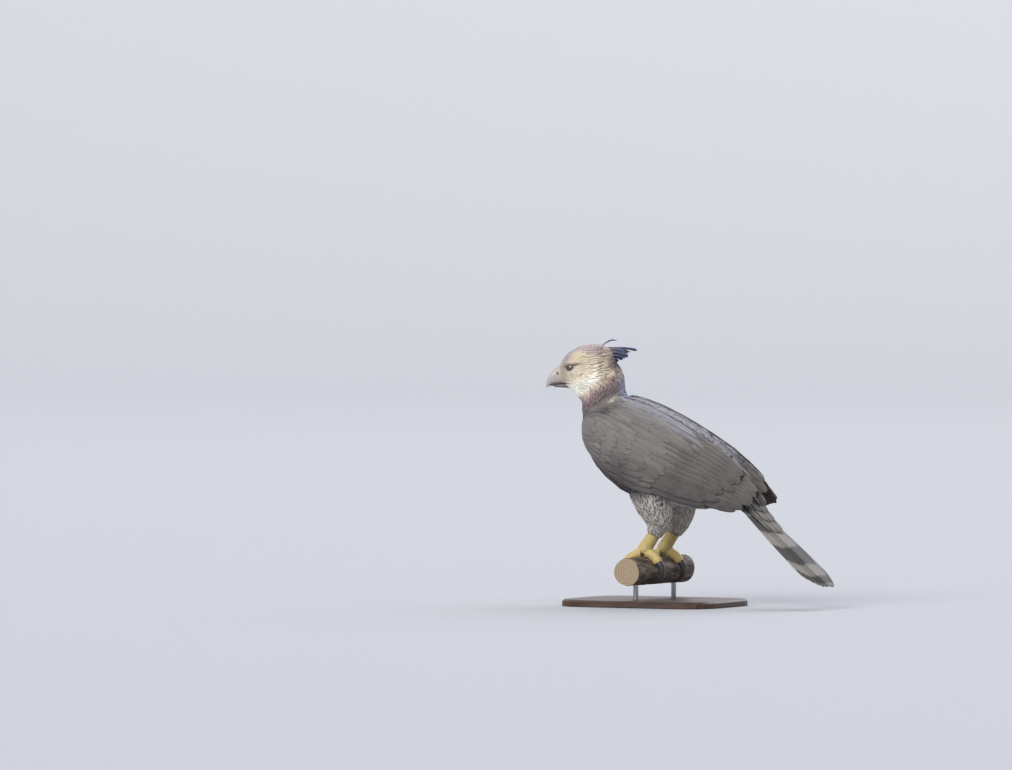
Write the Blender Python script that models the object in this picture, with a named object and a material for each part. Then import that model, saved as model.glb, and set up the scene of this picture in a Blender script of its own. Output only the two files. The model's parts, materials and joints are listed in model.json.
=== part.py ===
"""Harpy eagle, a still, life-size model that grips a cut branch over a low display stand.

Run it with blender --background --python part.py, or from Blender's text editor.
Metres, +Z up. The bird's body points along -X and its left side is at -Y. The origin is the
centre of the stand base's underside. Tables of stations are in millimetres.
"""

import math

import bpy
import numpy as np

MM = 0.001
GAP = 0.0003

# Driving sizes
HEAD_TURN = math.radians(28)
NECK_AXIS = np.array([-0.140, 0.0, 0.0])
PERCH_RADIUS = 0.033
PERCH_TOP = 0.117
PERCH_LENGTH = 0.290
BASE_LENGTH = 0.400
BASE_WIDTH = 0.300
BASE_HEIGHT = 0.016
BASE_ROUNDNESS = 0.42
BASE_LEVELS = ((0.0, 0.002), (0.002, 0.0), (0.012, 0.0), (BASE_HEIGHT, 0.005))
ROD_RADIUS = 0.006
ROD_OFFSET = 0.098
FOOT_OFFSET = 0.050
EYE_RADIUS = 0.011
ROOT_SINK = 4.0

# How far the sections of the body's forms are from round, 1, towards square
HEAD_SQUARENESS = 0.92
BILL_SQUARENESS = 0.9
TORSO_SQUARENESS = 0.94

# Colours, roughness and metallic of the plain solids
FINISHES = {
    "pale_feather": ((0.62, 0.58, 0.52), 0.9, 0.0),
    "dark_feather": ((0.16, 0.155, 0.16), 0.9, 0.0),
    "grey_feather": ((0.22, 0.21, 0.205), 0.9, 0.0),
    "white_feather": ((0.66, 0.64, 0.60), 0.9, 0.0),
    "horn": ((0.05, 0.05, 0.055), 0.35, 0.0),
    "eye": ((0.10, 0.07, 0.05), 0.1, 0.0),
    "leg_skin": ((0.62, 0.50, 0.16), 0.6, 0.0),
    "bark": ((0.24, 0.19, 0.15), 0.95, 0.0),
    "base_wood": ((0.09, 0.06, 0.045), 0.5, 0.0),
    "steel": ((0.35, 0.35, 0.36), 0.35, 1.0),
}

# Ribs run back (upper) x, z, front (lower) x, z and half width, from one end to the other.
TORSO_RIBS = (
    (-176, 462, -178, 396, 34),
    (-150, 487, -156, 352, 68),
    (-104, 496, -130, 312, 90),
    (-42, 485, -88, 276, 102),
    (28, 456, -34, 250, 104),
    (96, 418, 30, 234, 97),
    (152, 380, 98, 228, 81),
    (197, 343, 156, 230, 58),
    (230, 308, 202, 238, 34),
)
TORSO_ENDS = ((-184, 428), (240, 268))
NECK_RIBS = (
    (-64, 468, -182, 418, 60),
    (-78, 498, -187, 448, 60),
    (-88, 524, -189, 478, 57),
    (-95, 546, -184, 505, 52),
    (-99, 570, -174, 535, 44),
)
NECK_ENDS = ((-124, 440), (-136, 556))

# Head ribs are in the head's own frame: forward of the neck's axis, then height.
HEAD_RIBS = (
    (-35, 572, -36, 532, 20),
    (-30, 591, -33, 508, 36),
    (-18, 606, -22, 494, 46),
    (4, 614, 0, 486, 51),
    (30, 615, 26, 484, 52),
    (54, 610, 50, 492, 48),
    (74, 599, 68, 506, 41),
    (88, 585, 80, 514.5, 31),
    (98, 569, 88, 518, 20),
    (105, 561, 95, 521, 14),
)
HEAD_ENDS = ((-38, 552), (104, 543))
BEAK_UPPER_RIBS = (
    (101, 562, 78, 523.5, 16.0),
    (109, 557.5, 97, 522, 12.0),
    (119, 549, 110, 521, 9.5),
    (127, 537, 118.5, 519.5, 7.0),
    (130.5, 525, 124, 516.5, 4.2),
)
BEAK_UPPER_ENDS = ((86, 545), (128, 512))
BEAK_LOWER_RIBS = (
    (80, 522.5, 76, 510.5, 12.5),
    (98, 521, 95, 512, 9.5),
    (113, 519.5, 110, 513, 6.5),
)
BEAK_LOWER_ENDS = ((71, 516.5), (118, 516.5))

# Places on the head's skin: a share of the way from hindmost to foremost rib, then height
EYE_PLACE = (0.715, 559.5)
EYE_PROUD = 2.2
LID_HALF_LENGTH = 9.8
LID_HALF_HEIGHT = 7.8
LID_RADIUS = 2.1
BROW = ((0.90, 563, 2.5), (0.81, 569.5, 4.6), (0.71, 572.5, 5.6), (0.62, 572, 4.6), (0.54, 569, 2.4))
GAPE = ((0.93, 523), (0.87, 523.2), (0.80, 523), (0.73, 522.3))
NOSTRIL_PLACE = (104.5, 11.5, 545)
NOSTRIL_RADII = (0.0034, 0.0035, 0.0018)
CUT_CERE = ((112.5, 560), (106, 519))
# Crest rows: count, root forward and up, tip forward and up, half spread at root and tip, half width
CREST_ROWS = (
    (1, 6, 608, -82, 605, 0, 2, 6.0),
    (1, 10, 605, -42, 628, 0, 6, 4.4),
    (3, -6, 600, -66, 596, 13, 20, 8.5),
    (3, -14, 590, -60, 586, 17, 26, 9.0),
    (2, -18, 578, -46, 573, 9, 15, 9.0),
)
# The ruff on one side: its feathers' number and angles round the head in degrees, the shares of the
# head's length at root, middle and tip, how far the tips rise in millimetres and the half width
RUFF_COUNT = 5
RUFF_FIRST = 44
RUFF_LAST = 106
RUFF_ROOT = 0.47
RUFF_MIDDLE = 0.4
RUFF_TIP = 0.27
RUFF_RISE = 11
RUFF_HALF_WIDTH = 0.0080

CUT_THROAT = (50, 482)
CUT_NAPE = (-48, 531)

# A wing's stations: upper edge x, y, z, lower edge x, y, z, outward bulge and thickness.
WING_STATIONS = (
    (-146, 62, 440, -150, 74, 402, 12, 12),
    (-126, 50, 470, -136, 86, 374, 24, 20),
    (-88, 35, 492, -103, 98, 336, 42, 28),
    (-32, 26, 483, -54, 104, 300, 52, 30),
    (38, 22, 456, 12, 104, 272, 54, 28),
    (112, 20, 419, 88, 98, 252, 47, 24),
    (182, 19, 377, 160, 86, 238, 35, 18),
    (238, 20, 333, 224, 72, 226, 23, 13),
    (287, 28, 287, 277, 60, 220, 12, 9),
)
WING_FRONT = (-153, 70, 421)
WING_CORE = 0.84

# Tiers of wing feathers, lowest first: count, roots' line and tips' line as (along, down) pairs,
# then half width and lift at the tip, each for the first feather, nearest the back, and the last.
WING_TIERS = (
    (5, (0.60, 0.40), (0.63, 0.88), (1.02, 0.34), (0.93, 0.95), 13, 11, 3.0, 1.5),
    (8, (0.42, 0.07), (0.50, 0.92), (0.93, 0.12), (0.78, 0.97), 16, 14, 9.5, 4.5),
    (6, (0.26, 0.37), (0.35, 0.92), (0.50, 0.31), (0.58, 0.95), 15, 14, 8.5, 7.0),
    (6, (0.11, 0.36), (0.19, 0.90), (0.32, 0.31), (0.40, 0.93), 13, 13, 7.5, 6.0),
    (4, (0.02, 0.36), (0.04, 0.80), (0.17, 0.30), (0.24, 0.88), 14, 14, 6.5, 5.5),
    (3, (0.30, 0.03), (0.33, 0.25), (0.57, 0.04), (0.60, 0.25), 15, 15, 11.0, 9.5),
    (3, (0.12, 0.05), (0.15, 0.25), (0.38, 0.04), (0.41, 0.25), 15, 15, 9.5, 8.5),
)
LONG_VANE = ((0.0, 0.5), (0.22, 0.85), (0.5, 1.0), (0.8, 0.93), (0.95, 0.55))
SHORT_VANE = ((0.0, 0.5), (0.3, 0.95), (0.7, 1.0), (0.94, 0.6))
VANE_ROLL = math.radians(4)
VANE_RIDGE = 1.0

TAIL_ROOT = np.array([0.188, 0.0, 0.300])
TAIL_PITCH = math.radians(42)
TAIL_LENGTH = 0.368
TAIL_STUB = 0.150
TAIL_STUB_HALF = (0.030, 0.042)
TAIL_STUB_THICK = 0.019
TAIL_ROOTS = 0.082
RECTRIX_HALF_WIDTH = 0.0235
RECTRIX_LAYER = 0.0015
TAIL_COVERTS = 5
TAIL_COVERT_LENGTH = 0.195
TAIL_COVERT_HALF_WIDTH = 0.013


def follow(stations, share):
    """The stations' row at a share of their length, on a smooth curve, straight on past the ends."""
    rows = np.array(stations, float)
    slopes = np.gradient(rows, axis=0)
    place = share * (len(rows) - 1)
    if place <= 0:
        return rows[0] + slopes[0] * place
    if place >= len(rows) - 1:
        return rows[-1] + slopes[-1] * (place - len(rows) + 1)
    i = int(place)
    t = place - i
    start = (1 + 2 * t) * (1 - t) ** 2 * rows[i] + t * (1 - t) ** 2 * slopes[i]
    end = t * t * (3 - 2 * t) * rows[i + 1] - t * t * (1 - t) * slopes[i + 1]
    return start + end


def unit(vector):
    return vector / max(np.linalg.norm(vector), 1e-9)


def rib_point(ribs, share, angle, squareness=1.0):
    """A point on a body of ribs: angle 0 is its back, a quarter turn its side at +Y."""
    back_x, back_z, front_x, front_z, half_width = follow(ribs, share)
    up = np.array([back_x - front_x, 0, back_z - front_z]) / 2
    middle = np.array([back_x + front_x, 0, back_z + front_z]) / 2
    c, s = math.cos(angle), math.sin(angle)
    c = math.copysign(abs(c) ** squareness, c)
    s = math.copysign(abs(s) ** squareness, s)
    return (middle + up * c + np.array([0, half_width * s, 0])) * MM


def head_place(point):
    """Carries a point from the head's frame (forward, right, up) to the model's."""
    forward, right, up = point
    f = np.array([-math.cos(HEAD_TURN), -math.sin(HEAD_TURN), 0])
    r = np.array([-math.sin(HEAD_TURN), math.cos(HEAD_TURN), 0])
    return NECK_AXIS + f * forward + r * right + np.array([0, 0, up])


def mesh_object(name, points, faces, finish):
    """A named object of triangles or quads, with its faces turned outwards."""
    points = np.array(points, float)
    volume = 0.0
    for face in faces:
        for i in range(1, len(face) - 1):
            a, b, c = points[face[0]], points[face[i]], points[face[i + 1]]
            volume += np.dot(a, np.cross(b, c))
    if volume < 0:
        faces = [tuple(reversed(face)) for face in faces]
    mesh = bpy.data.meshes.new(name)
    mesh.from_pydata(points.tolist(), [], [tuple(face) for face in faces])
    mesh.update()
    obj = bpy.data.objects.new(name, mesh)
    bpy.context.scene.collection.objects.link(obj)
    if finish:
        mesh.materials.append(material(finish))
    return obj


def material(finish):
    """The plain material of one finish, made once."""
    found = bpy.data.materials.get(finish)
    if found:
        return found
    colour, roughness, metallic = FINISHES[finish]
    made = bpy.data.materials.new(finish)
    made.use_nodes = True
    shader = made.node_tree.nodes["Principled BSDF"]
    shader.inputs["Base Color"].default_value = (*colour, 1)
    shader.inputs["Roughness"].default_value = roughness
    shader.inputs["Metallic"].default_value = metallic
    return made


def loft(name, rings, ends, finish=None, mirrored_splits=False):
    """A closed tube through rings of points, its ends drawn in to two points.

    With mirrored_splits the faces over and under a thin vane are split alike, so they never cross.
    """
    rings = np.array(rings, float)
    count, sides = rings.shape[:2]
    points = [*rings.reshape(-1, 3), np.array(ends[0]), np.array(ends[1])]
    faces = []
    for i in range(count - 1):
        for j in range(sides):
            k = (j + 1) % sides
            a, b = i * sides + j, i * sides + k
            c, d = (i + 1) * sides + k, (i + 1) * sides + j
            if mirrored_splits and j % 2:
                faces += [(a, b, d), (b, c, d)]
            else:
                faces += [(a, b, c), (a, c, d)]
    first, last = count * sides, count * sides + 1
    for j in range(sides):
        k = (j + 1) % sides
        faces.append((first, k, j))
        faces.append((last, (count - 1) * sides + j, (count - 1) * sides + k))
    return mesh_object(name, points, faces, finish)


def ribbed(name, ribs, ends, rings, sides, finish=None, place=None, squareness=1.0):
    """A closed body of ribs. place, if given, carries its points to where they belong."""
    put = place or (lambda p: p)
    turns = np.linspace(0, 2 * math.pi, sides, endpoint=False)
    shares = np.linspace(0, 1, rings)
    made = [[put(rib_point(ribs, s, a, squareness)) for a in turns] for s in shares]
    tips = [put(np.array([x, 0, z]) * MM) for x, z in ends]
    return loft(name, made, tips, finish)


def tube(name, path, radii, sides, finish=None, up=(0, 0, 1), flatness=1.0, ends=0.6):
    """A closed round tube along a path of points, a little domed at its ends."""
    path = np.array(path, float)
    along = np.gradient(path, axis=0)
    rings = []
    for point, direction, radius in zip(path, along, radii):
        direction = unit(direction)
        across = unit(np.cross(direction, up))
        over = np.cross(across, direction)
        turns = np.linspace(0, 2 * math.pi, sides, endpoint=False)
        rings.append(
            [point + radius * (math.cos(t) * across + math.sin(t) * over * flatness) for t in turns]
        )
    tips = (
        path[0] - unit(along[0]) * radii[0] * ends,
        path[-1] + unit(along[-1]) * radii[-1] * ends,
    )
    return loft(name, rings, tips, finish)


def ball(name, centre, radii, sides, finish=None, turn=0.0):
    """An egg of three radii, turned about Z."""
    rings = []
    count = max(4, sides // 2)
    c, s = math.cos(turn), math.sin(turn)
    spin = np.array([[c, -s, 0], [s, c, 0], [0, 0, 1]])
    for i in range(1, count):
        polar = math.pi * i / count
        turns = np.linspace(0, 2 * math.pi, sides, endpoint=False)
        rings.append(
            [
                centre
                + spin
                @ (
                    np.array(radii)
                    * (math.sin(polar) * math.cos(t), math.sin(polar) * math.sin(t), math.cos(polar))
                )
                for t in turns
            ]
        )
    tips = [centre + np.array([0, 0, radii[2] * sign]) for sign in (1, -1)]
    return loft(name, rings, tips, finish)


def applied(obj):
    """Replaces the object's mesh by what its modifiers make of it."""
    graph = bpy.context.evaluated_depsgraph_get()
    made = bpy.data.meshes.new_from_object(obj.evaluated_get(graph))
    obj.modifiers.clear()
    obj.data = made
    return obj


def combine(target, others, operation, solver="EXACT"):
    """One Boolean of the target with all the others, which are then removed."""
    group = bpy.data.collections.new("operands")
    bpy.context.scene.collection.children.link(group)
    for other in others:
        group.objects.link(other)
    step = target.modifiers.new(operation, "BOOLEAN")
    step.operand_type = "COLLECTION"
    step.collection = group
    step.operation = operation
    step.solver = solver
    applied(target)
    for other in list(group.objects):
        bpy.data.objects.remove(other)
    bpy.data.collections.remove(group)
    return keep_largest(target)


def keep_largest(obj):
    """Leaves only the closed surface that holds the most, which drops scraps and fills sealed hollows."""
    mesh = obj.data
    mesh.calc_loop_triangles()
    faces = np.empty(len(mesh.loop_triangles) * 3, np.int64)
    mesh.loop_triangles.foreach_get("vertices", faces)
    faces = faces.reshape(-1, 3)
    points = np.empty(len(mesh.vertices) * 3)
    mesh.vertices.foreach_get("co", points)
    points = points.reshape(-1, 3)
    label = np.arange(len(points))
    while True:
        lowest = label[faces].min(axis=1)
        after = label.copy()
        for corner in range(3):
            np.minimum.at(after, faces[:, corner], lowest)
        if (after == label).all():
            break
        label = after[after]
    shells = label[faces[:, 0]]
    volumes = {}
    for shell in np.unique(shells):
        corners = points[faces[shells == shell]]
        volumes[shell] = np.einsum(
            "ij,ij->i", corners[:, 0], np.cross(corners[:, 1], corners[:, 2])
        ).sum()
    best = max(volumes, key=volumes.get)
    kept = faces[shells == best]
    used, renumbered = np.unique(kept, return_inverse=True)
    smooth = bpy.data.meshes.new(obj.name)
    smooth.from_pydata(points[used].tolist(), [], renumbered.reshape(-1, 3).tolist())
    for slot in mesh.materials:
        smooth.materials.append(slot)
    obj.data = smooth
    return obj


def inflated(obj, by=GAP * 1.3):
    """A copy of the object that stands out from it by a small gap on every side."""
    copy = obj.copy()
    copy.data = obj.data.copy()
    bpy.context.scene.collection.objects.link(copy)
    for vertex, normal in zip(copy.data.vertices, obj.data.vertex_normals):
        vertex.co = vertex.co + normal.vector * by
    return copy


def cut_clear(obj, *neighbours):
    """Cuts the object back from its neighbours, so that it meets them with the gap between."""
    return combine(obj, [inflated(n) for n in neighbours], "DIFFERENCE")


def slab(name, point, normal, depth=1.0, size=1.0):
    """A big block that fills the side of a plane that its normal points to."""
    normal = unit(np.array(normal, float))
    across = unit(np.cross(normal, (0.31, 0.87, 0.41)))
    over = np.cross(normal, across)
    corners = []
    for far in (0, depth):
        for a, b in ((-1, -1), (1, -1), (1, 1), (-1, 1)):
            corners.append(np.array(point) + normal * far + (across * a + over * b) * size / 2)
    faces = [(0, 3, 2, 1), (4, 5, 6, 7)]
    faces += [(i, (i + 1) % 4, (i + 1) % 4 + 4, i + 4) for i in range(4)]
    return mesh_object(name, corners, faces, None)


def side_name(side):
    return "left" if side < 0 else "right"


# Head, neck and torso


def make_torso():
    return ribbed("torso", TORSO_RIBS, TORSO_ENDS, 14, 24, "grey_feather", squareness=TORSO_SQUARENESS)


def make_head_and_neck(torso):
    """One body of head and neck, parted by a thin cut from the throat to the nape."""
    head = ribbed("head", HEAD_RIBS, HEAD_ENDS, 14, 22, "pale_feather", head_place, HEAD_SQUARENESS)
    neck = ribbed("neck", NECK_RIBS, NECK_ENDS, 6, 22, "dark_feather")
    throat = head_place((CUT_THROAT[0] * MM, 0, CUT_THROAT[1] * MM))
    nape = head_place((CUT_NAPE[0] * MM, 0, CUT_NAPE[1] * MM))
    along = unit(nape - throat)
    level = np.array([-math.sin(HEAD_TURN), math.cos(HEAD_TURN), 0])
    normal = unit(np.cross(along, level))
    if normal[2] < 0:
        normal = -normal
    grown = [copied(neck, "whole_neck"), *make_crest()]
    for side in (-1, 1):
        grown += [*make_ruff(side), make_lids(side), make_brow(side)]
    whole = combine(copied(head, "whole"), grown, "UNION")
    combine(whole, [make_gape(side) for side in (-1, 1)], "DIFFERENCE")
    parts = []
    for source, towards in ((head, normal), (neck, -normal)):
        part = copied(whole, source.name + "_cut")
        block = slab("block", throat - towards * (-GAP / 2), -towards)
        part = combine(part, [block], "DIFFERENCE")
        name = source.name
        finish = source.data.materials[0]
        bpy.data.objects.remove(source)
        part.name = name
        part.data.materials.clear()
        part.data.materials.append(finish)
        parts.append(part)
    bpy.data.objects.remove(whole)
    head, neck = parts
    cut_clear(neck, torso)
    cut_clear(head, torso)
    return head, neck


def vane(line, across, outward, half_width, ridge, roll=0.0, stations=SHORT_VANE):
    """A feather along a line from its sunk root, 0, to its tip, 1, with a ridge down its shaft."""
    rings = []
    for share, width in stations:
        point = line(share)
        along = unit(line(share + 0.02) - line(share - 0.02))
        side = across(share)
        side = unit(side - along * np.dot(side, along))
        over = outward(share)
        over = over - along * np.dot(over, along)
        over = unit(over - side * np.dot(over, side))
        edge = (side * math.cos(roll) + over * math.sin(roll)) * half_width * width
        top = (over * math.cos(roll) - side * math.sin(roll)) * ridge * (1 - 0.5 * share)
        rings.append([point - edge, point + top, point + edge, point - top])
    return loft("vane", rings, (line(-0.04), line(1.0)), None, True)


def curve(start, bend, end):
    """A smooth line from start to end that leaves towards bend."""
    start, bend, end = (np.array(p, float) for p in (start, bend, end))
    return lambda t: start * (1 - t) ** 2 + bend * 2 * t * (1 - t) + end * t * t


def placed_curve(place, start, bend, end):
    line = curve(start, bend, end)
    return lambda t: place(line(t) * MM)


def make_crest():
    """Crest feathers, row over row, from inside the hind crown back to their tips."""
    feathers = []
    for count, root_f, root_up, tip_f, tip_up, root_spread, tip_spread, half_width in CREST_ROWS:
        for i in range(count):
            k = 0 if count == 1 else 2 * i / (count - 1) - 1
            vary = 3.0 * math.sin(2.6 * i + tip_up)
            step = 3.0 * (i % 2)
            root = (root_f, root_spread * k, root_up - 5 * k * k + step)
            tip = (tip_f + 7 * k * k + vary, tip_spread * (k or 1), tip_up - 6 * k * k + step)
            bend = (0.45 * root_f + 0.55 * tip_f, tip_spread * k, max(root_up, tip_up) + 2)
            line = placed_curve(head_place, root, bend, tip)
            tilt = head_place((0, 1, -0.2 - 0.8 * k)) - NECK_AXIS
            over = head_place((0, 0.2 + 0.8 * k, 1)) - NECK_AXIS
            feathers.append(
                vane(line, lambda t, v=tilt: v, lambda t, v=over: v, half_width * MM, VANE_RIDGE * MM)
            )
    return feathers


def make_ruff(side):
    """The feathers of the hood's rear edge on one side, each laid back and a little raised."""
    feathers = []
    for i in range(RUFF_COUNT):
        angle = math.radians(RUFF_FIRST + (RUFF_LAST - RUFF_FIRST) * i / (RUFF_COUNT - 1))

        def line(t, angle=angle):
            share = RUFF_ROOT + (RUFF_TIP - RUFF_ROOT) * t
            skin = head_section(share, angle * side)
            out = unit(skin - (head_section(share, 0) + head_section(share, math.pi)) / 2)
            return head_place(skin + out * (-ROOT_SINK + RUFF_RISE * t) * MM)

        def across(t, angle=angle):
            turned = head_section(RUFF_MIDDLE, (angle + 0.05) * side)
            return head_place(turned) - head_place(head_section(RUFF_MIDDLE, angle * side))

        out = np.array([0, math.sin(angle) * side, math.cos(angle)])
        over = head_place(out) - NECK_AXIS
        feathers.append(
            vane(line, across, lambda t, v=over: v, RUFF_HALF_WIDTH, VANE_RIDGE * MM, VANE_ROLL * 2)
        )
    return feathers


def head_section(share, angle):
    """A point of the head's form in the head's own frame."""
    return rib_point(HEAD_RIBS, share, angle, HEAD_SQUARENESS)


def head_skin(share, height, side):
    """The point of the head's skin at a share of its length and a height, on one side."""
    low, high = 0.0, math.pi
    for _ in range(30):
        angle = (low + high) / 2
        if head_section(share, angle * side)[2] > height * MM:
            low = angle
        else:
            high = angle
    return head_place(head_section(share, angle * side))


def eye_frame(side):
    """One eye's place on the skin, and the directions along its lids, up and out of the head."""
    share, height = EYE_PLACE
    skin = head_skin(share, height, side)
    along = unit(head_skin(share + 0.04, height, side) - head_skin(share - 0.04, height, side))
    up = head_skin(share, height + 4, side) - head_skin(share, height - 4, side)
    up = unit(up - along * np.dot(up, along))
    out = np.cross(along, up) * side
    if np.dot(out, skin - head_place((0.08, 0, height * MM))) < 0:
        out = -out
    return skin, along, up, out


def make_lids(side):
    """The rim of the lids round one eye: an almond ring a little lower at the front."""
    centre, along, up, out = eye_frame(side)
    rings = []
    for turn in np.linspace(0, 2 * math.pi, 14, endpoint=False):
        c, s = math.cos(turn), math.sin(turn)
        ring_point = along * c * LID_HALF_LENGTH + up * (s * LID_HALF_HEIGHT - 1.5 * c)
        away = unit(along * c * LID_HALF_HEIGHT + up * s * LID_HALF_LENGTH)
        ring = []
        for spin in np.linspace(0, 2 * math.pi, 4, endpoint=False):
            small = (away * math.cos(spin) + out * math.sin(spin)) * LID_RADIUS
            ring.append(centre + (ring_point + small) * MM)
        rings.append(ring)
    return closed_loop("lids", rings)


def closed_loop(name, rings):
    """A closed ring of rings."""
    count, sides = len(rings), len(rings[0])
    points = [point for ring in rings for point in ring]
    faces = []
    for i in range(count):
        n = (i + 1) % count
        for j in range(sides):
            k = (j + 1) % sides
            faces.append((i * sides + j, i * sides + k, n * sides + k, n * sides + j))
    return mesh_object(name, points, faces, None)


def make_brow(side):
    """The bony ridge over one eye that shades it."""
    path = [head_skin(share, height, side) for share, height, _ in BROW]
    radii = [radius * MM for _, _, radius in BROW]
    return tube("brow", path, radii, 8, None, (0, 0, 1), 0.62)


def make_gape(side):
    """A thin slot for the mouth's line, from the bill back below the eye."""
    points = [head_skin(share, height, side) for share, height in GAPE]
    inward = head_place((0.4, side, 0)) - NECK_AXIS
    rings = []
    for point, size in zip(points, (0.8, 1.0, 1.0, 0.5)):
        deep, high = inward * 3.6 * MM * size, np.array([0, 0, 0.7 * MM * size])
        rings.append([point - deep, point + high, point + deep, point - high])
    ends = (points[0] * 2 - points[1], points[-1] * 1.3 - points[-2] * 0.3)
    return loft("gape", rings, ends, None, True)


def copied(obj, name):
    copy = obj.copy()
    copy.data = obj.data.copy()
    copy.name = name
    bpy.context.scene.collection.objects.link(copy)
    return copy


def make_bill(head):
    """The hooked upper mandible, its cere with the nostrils, and the lower mandible."""
    upper = ribbed(
        "beak_upper", BEAK_UPPER_RIBS, BEAK_UPPER_ENDS, 10, 14, "horn", head_place, BILL_SQUARENESS
    )
    lower = ribbed(
        "beak_lower", BEAK_LOWER_RIBS, BEAK_LOWER_ENDS, 5, 12, "horn", head_place, BILL_SQUARENESS
    )
    (top_f, top_up), (foot_f, foot_up) = CUT_CERE
    top = head_place((top_f * MM, 0, top_up * MM))
    foot = head_place((foot_f * MM, 0, foot_up * MM))
    level = head_place((0, 1, 0)) - NECK_AXIS
    forward = unit(np.cross(top - foot, level))
    if np.dot(forward, head_place((1, 0, 0)) - NECK_AXIS) < 0:
        forward = -forward
    cere = copied(upper, "cere")
    combine(cere, [slab("block", top - forward * GAP / 2, forward)], "DIFFERENCE")
    combine(upper, [slab("block", top + forward * GAP / 2, -forward)], "DIFFERENCE")
    nostrils = []
    for side in (-1, 1):
        f, w, up = NOSTRIL_PLACE
        centre = head_place((f * MM, w * MM * side, up * MM))
        turn = HEAD_TURN - math.radians(12) * side
        nostrils.append(ball("nostril", centre, NOSTRIL_RADII, 10, None, turn))
    combine(cere, nostrils, "DIFFERENCE")
    cut_clear(lower, upper, cere)
    cut_clear(head, upper, cere, lower)
    return upper, lower


def make_eye(head, side):
    skin, _, _, out = eye_frame(side)
    centre = skin - out * (EYE_RADIUS - EYE_PROUD * MM)
    eye = ball("eye_" + side_name(side), centre, [EYE_RADIUS] * 3, 12, "eye")
    cut_clear(head, eye)
    return eye


# Wings and tail


def wing_row(share):
    return follow(WING_STATIONS, share)


def wing_point(share, down, lift, side):
    """A point of a folded wing's outer face: down is 0 at its upper edge, 1 at its lower one."""
    row = wing_row(share)
    upper, lower = row[0:3], row[3:6]
    bulge = row[6] * max(0, 4 * down * (1 - down)) ** 0.75
    point = upper + (lower - upper) * down
    outward = unit(np.array([0, 1, 0.25]))
    point = point + outward * (bulge + lift / MM)
    return np.array([point[0], point[1] * side, point[2]]) * MM


def wing_vane(side, root, tip, half_width, lift, stations):
    """One feather of a folded wing, from its root to its tip, both (along, down) places."""
    clear = 1 + 0.4 * lift

    def height(t):
        return (-ROOT_SINK + (ROOT_SINK + clear) * min(1, t / 0.2) + (lift - clear) * t) * MM

    def line(t):
        share, down = root + (tip - root) * t
        return wing_point(share, down, height(t), side)

    def across(t):
        share, down = root + (tip - root) * t
        return wing_point(share, down + 0.03, 0, side) - wing_point(share, down - 0.03, 0, side)

    outward = np.array([0, side, 0.25])
    return vane(
        line, across, lambda t: outward, half_width * MM, VANE_RIDGE * MM, VANE_ROLL, stations
    )


def make_wing(side, *neighbours):
    """A folded wing: a curved core and its tiers of feathers, cut clear of all that it lies on."""
    rings = []
    for share in np.linspace(0, WING_CORE, 11):
        thickness = wing_row(share)[7] * MM
        outer = [wing_point(share, d, 0, side) for d in np.linspace(0, 1, 7)]
        inner = []
        for d in np.linspace(1, 0, 5):
            rim = math.sqrt(max(0.12, 1 - (2 * d - 1) ** 2))
            inner.append(wing_point(share, d, -thickness * rim, side))
        rings.append(outer + inner)
    front = np.array([WING_FRONT[0], WING_FRONT[1] * side, WING_FRONT[2]]) * MM
    back = wing_point(WING_CORE + 0.05, 0.5, -0.003, side)
    wing = loft("wing_" + side_name(side), rings, (front, back), "grey_feather")
    feathers = []
    for tier, (count, root_a, root_b, tip_a, tip_b, *sizes) in enumerate(WING_TIERS):
        half_a, half_b, lift_a, lift_b = sizes
        for i in range(count):
            k = i / (count - 1)
            root = np.array(root_a) * (1 - k) + np.array(root_b) * k
            tip = np.array(tip_a) * (1 - k) + np.array(tip_b) * k
            tip[0] += 0.03 * math.sin(math.pi * k) + 0.006 * math.sin(5 * i + count)
            half = half_a + (half_b - half_a) * k
            lift = lift_a + (lift_b - lift_a) * k
            stations = LONG_VANE if tier < 2 else SHORT_VANE
            feathers.append(wing_vane(side, root, tip, half, lift, stations))
    combine(wing, feathers, "UNION")
    cut_clear(wing, *neighbours)
    return wing


def tail_place(along, across, up):
    """A point of the tail's frame: along it, to the right and over its upper face."""
    d = np.array([math.cos(TAIL_PITCH), 0, -math.sin(TAIL_PITCH)])
    n = np.array([math.sin(TAIL_PITCH), 0, math.cos(TAIL_PITCH)])
    return TAIL_ROOT + d * along + n * up + np.array([0, across, 0])


def tail_vane(length, root, tip, level, half_width, rise=0.0):
    """One tail feather: its length, its offset across at root and tip, and its layer."""

    def line(t):
        along = TAIL_ROOTS + (length - TAIL_ROOTS) * t
        return tail_place(along, root + (tip - root) * t, level + rise * t)

    return vane(
        line,
        lambda t: np.array([0, 1.0, 0]),
        lambda t: tail_place(0, 0, 1) - TAIL_ROOT,
        half_width,
        0.0007,
        stations=LONG_VANE,
    )


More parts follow.
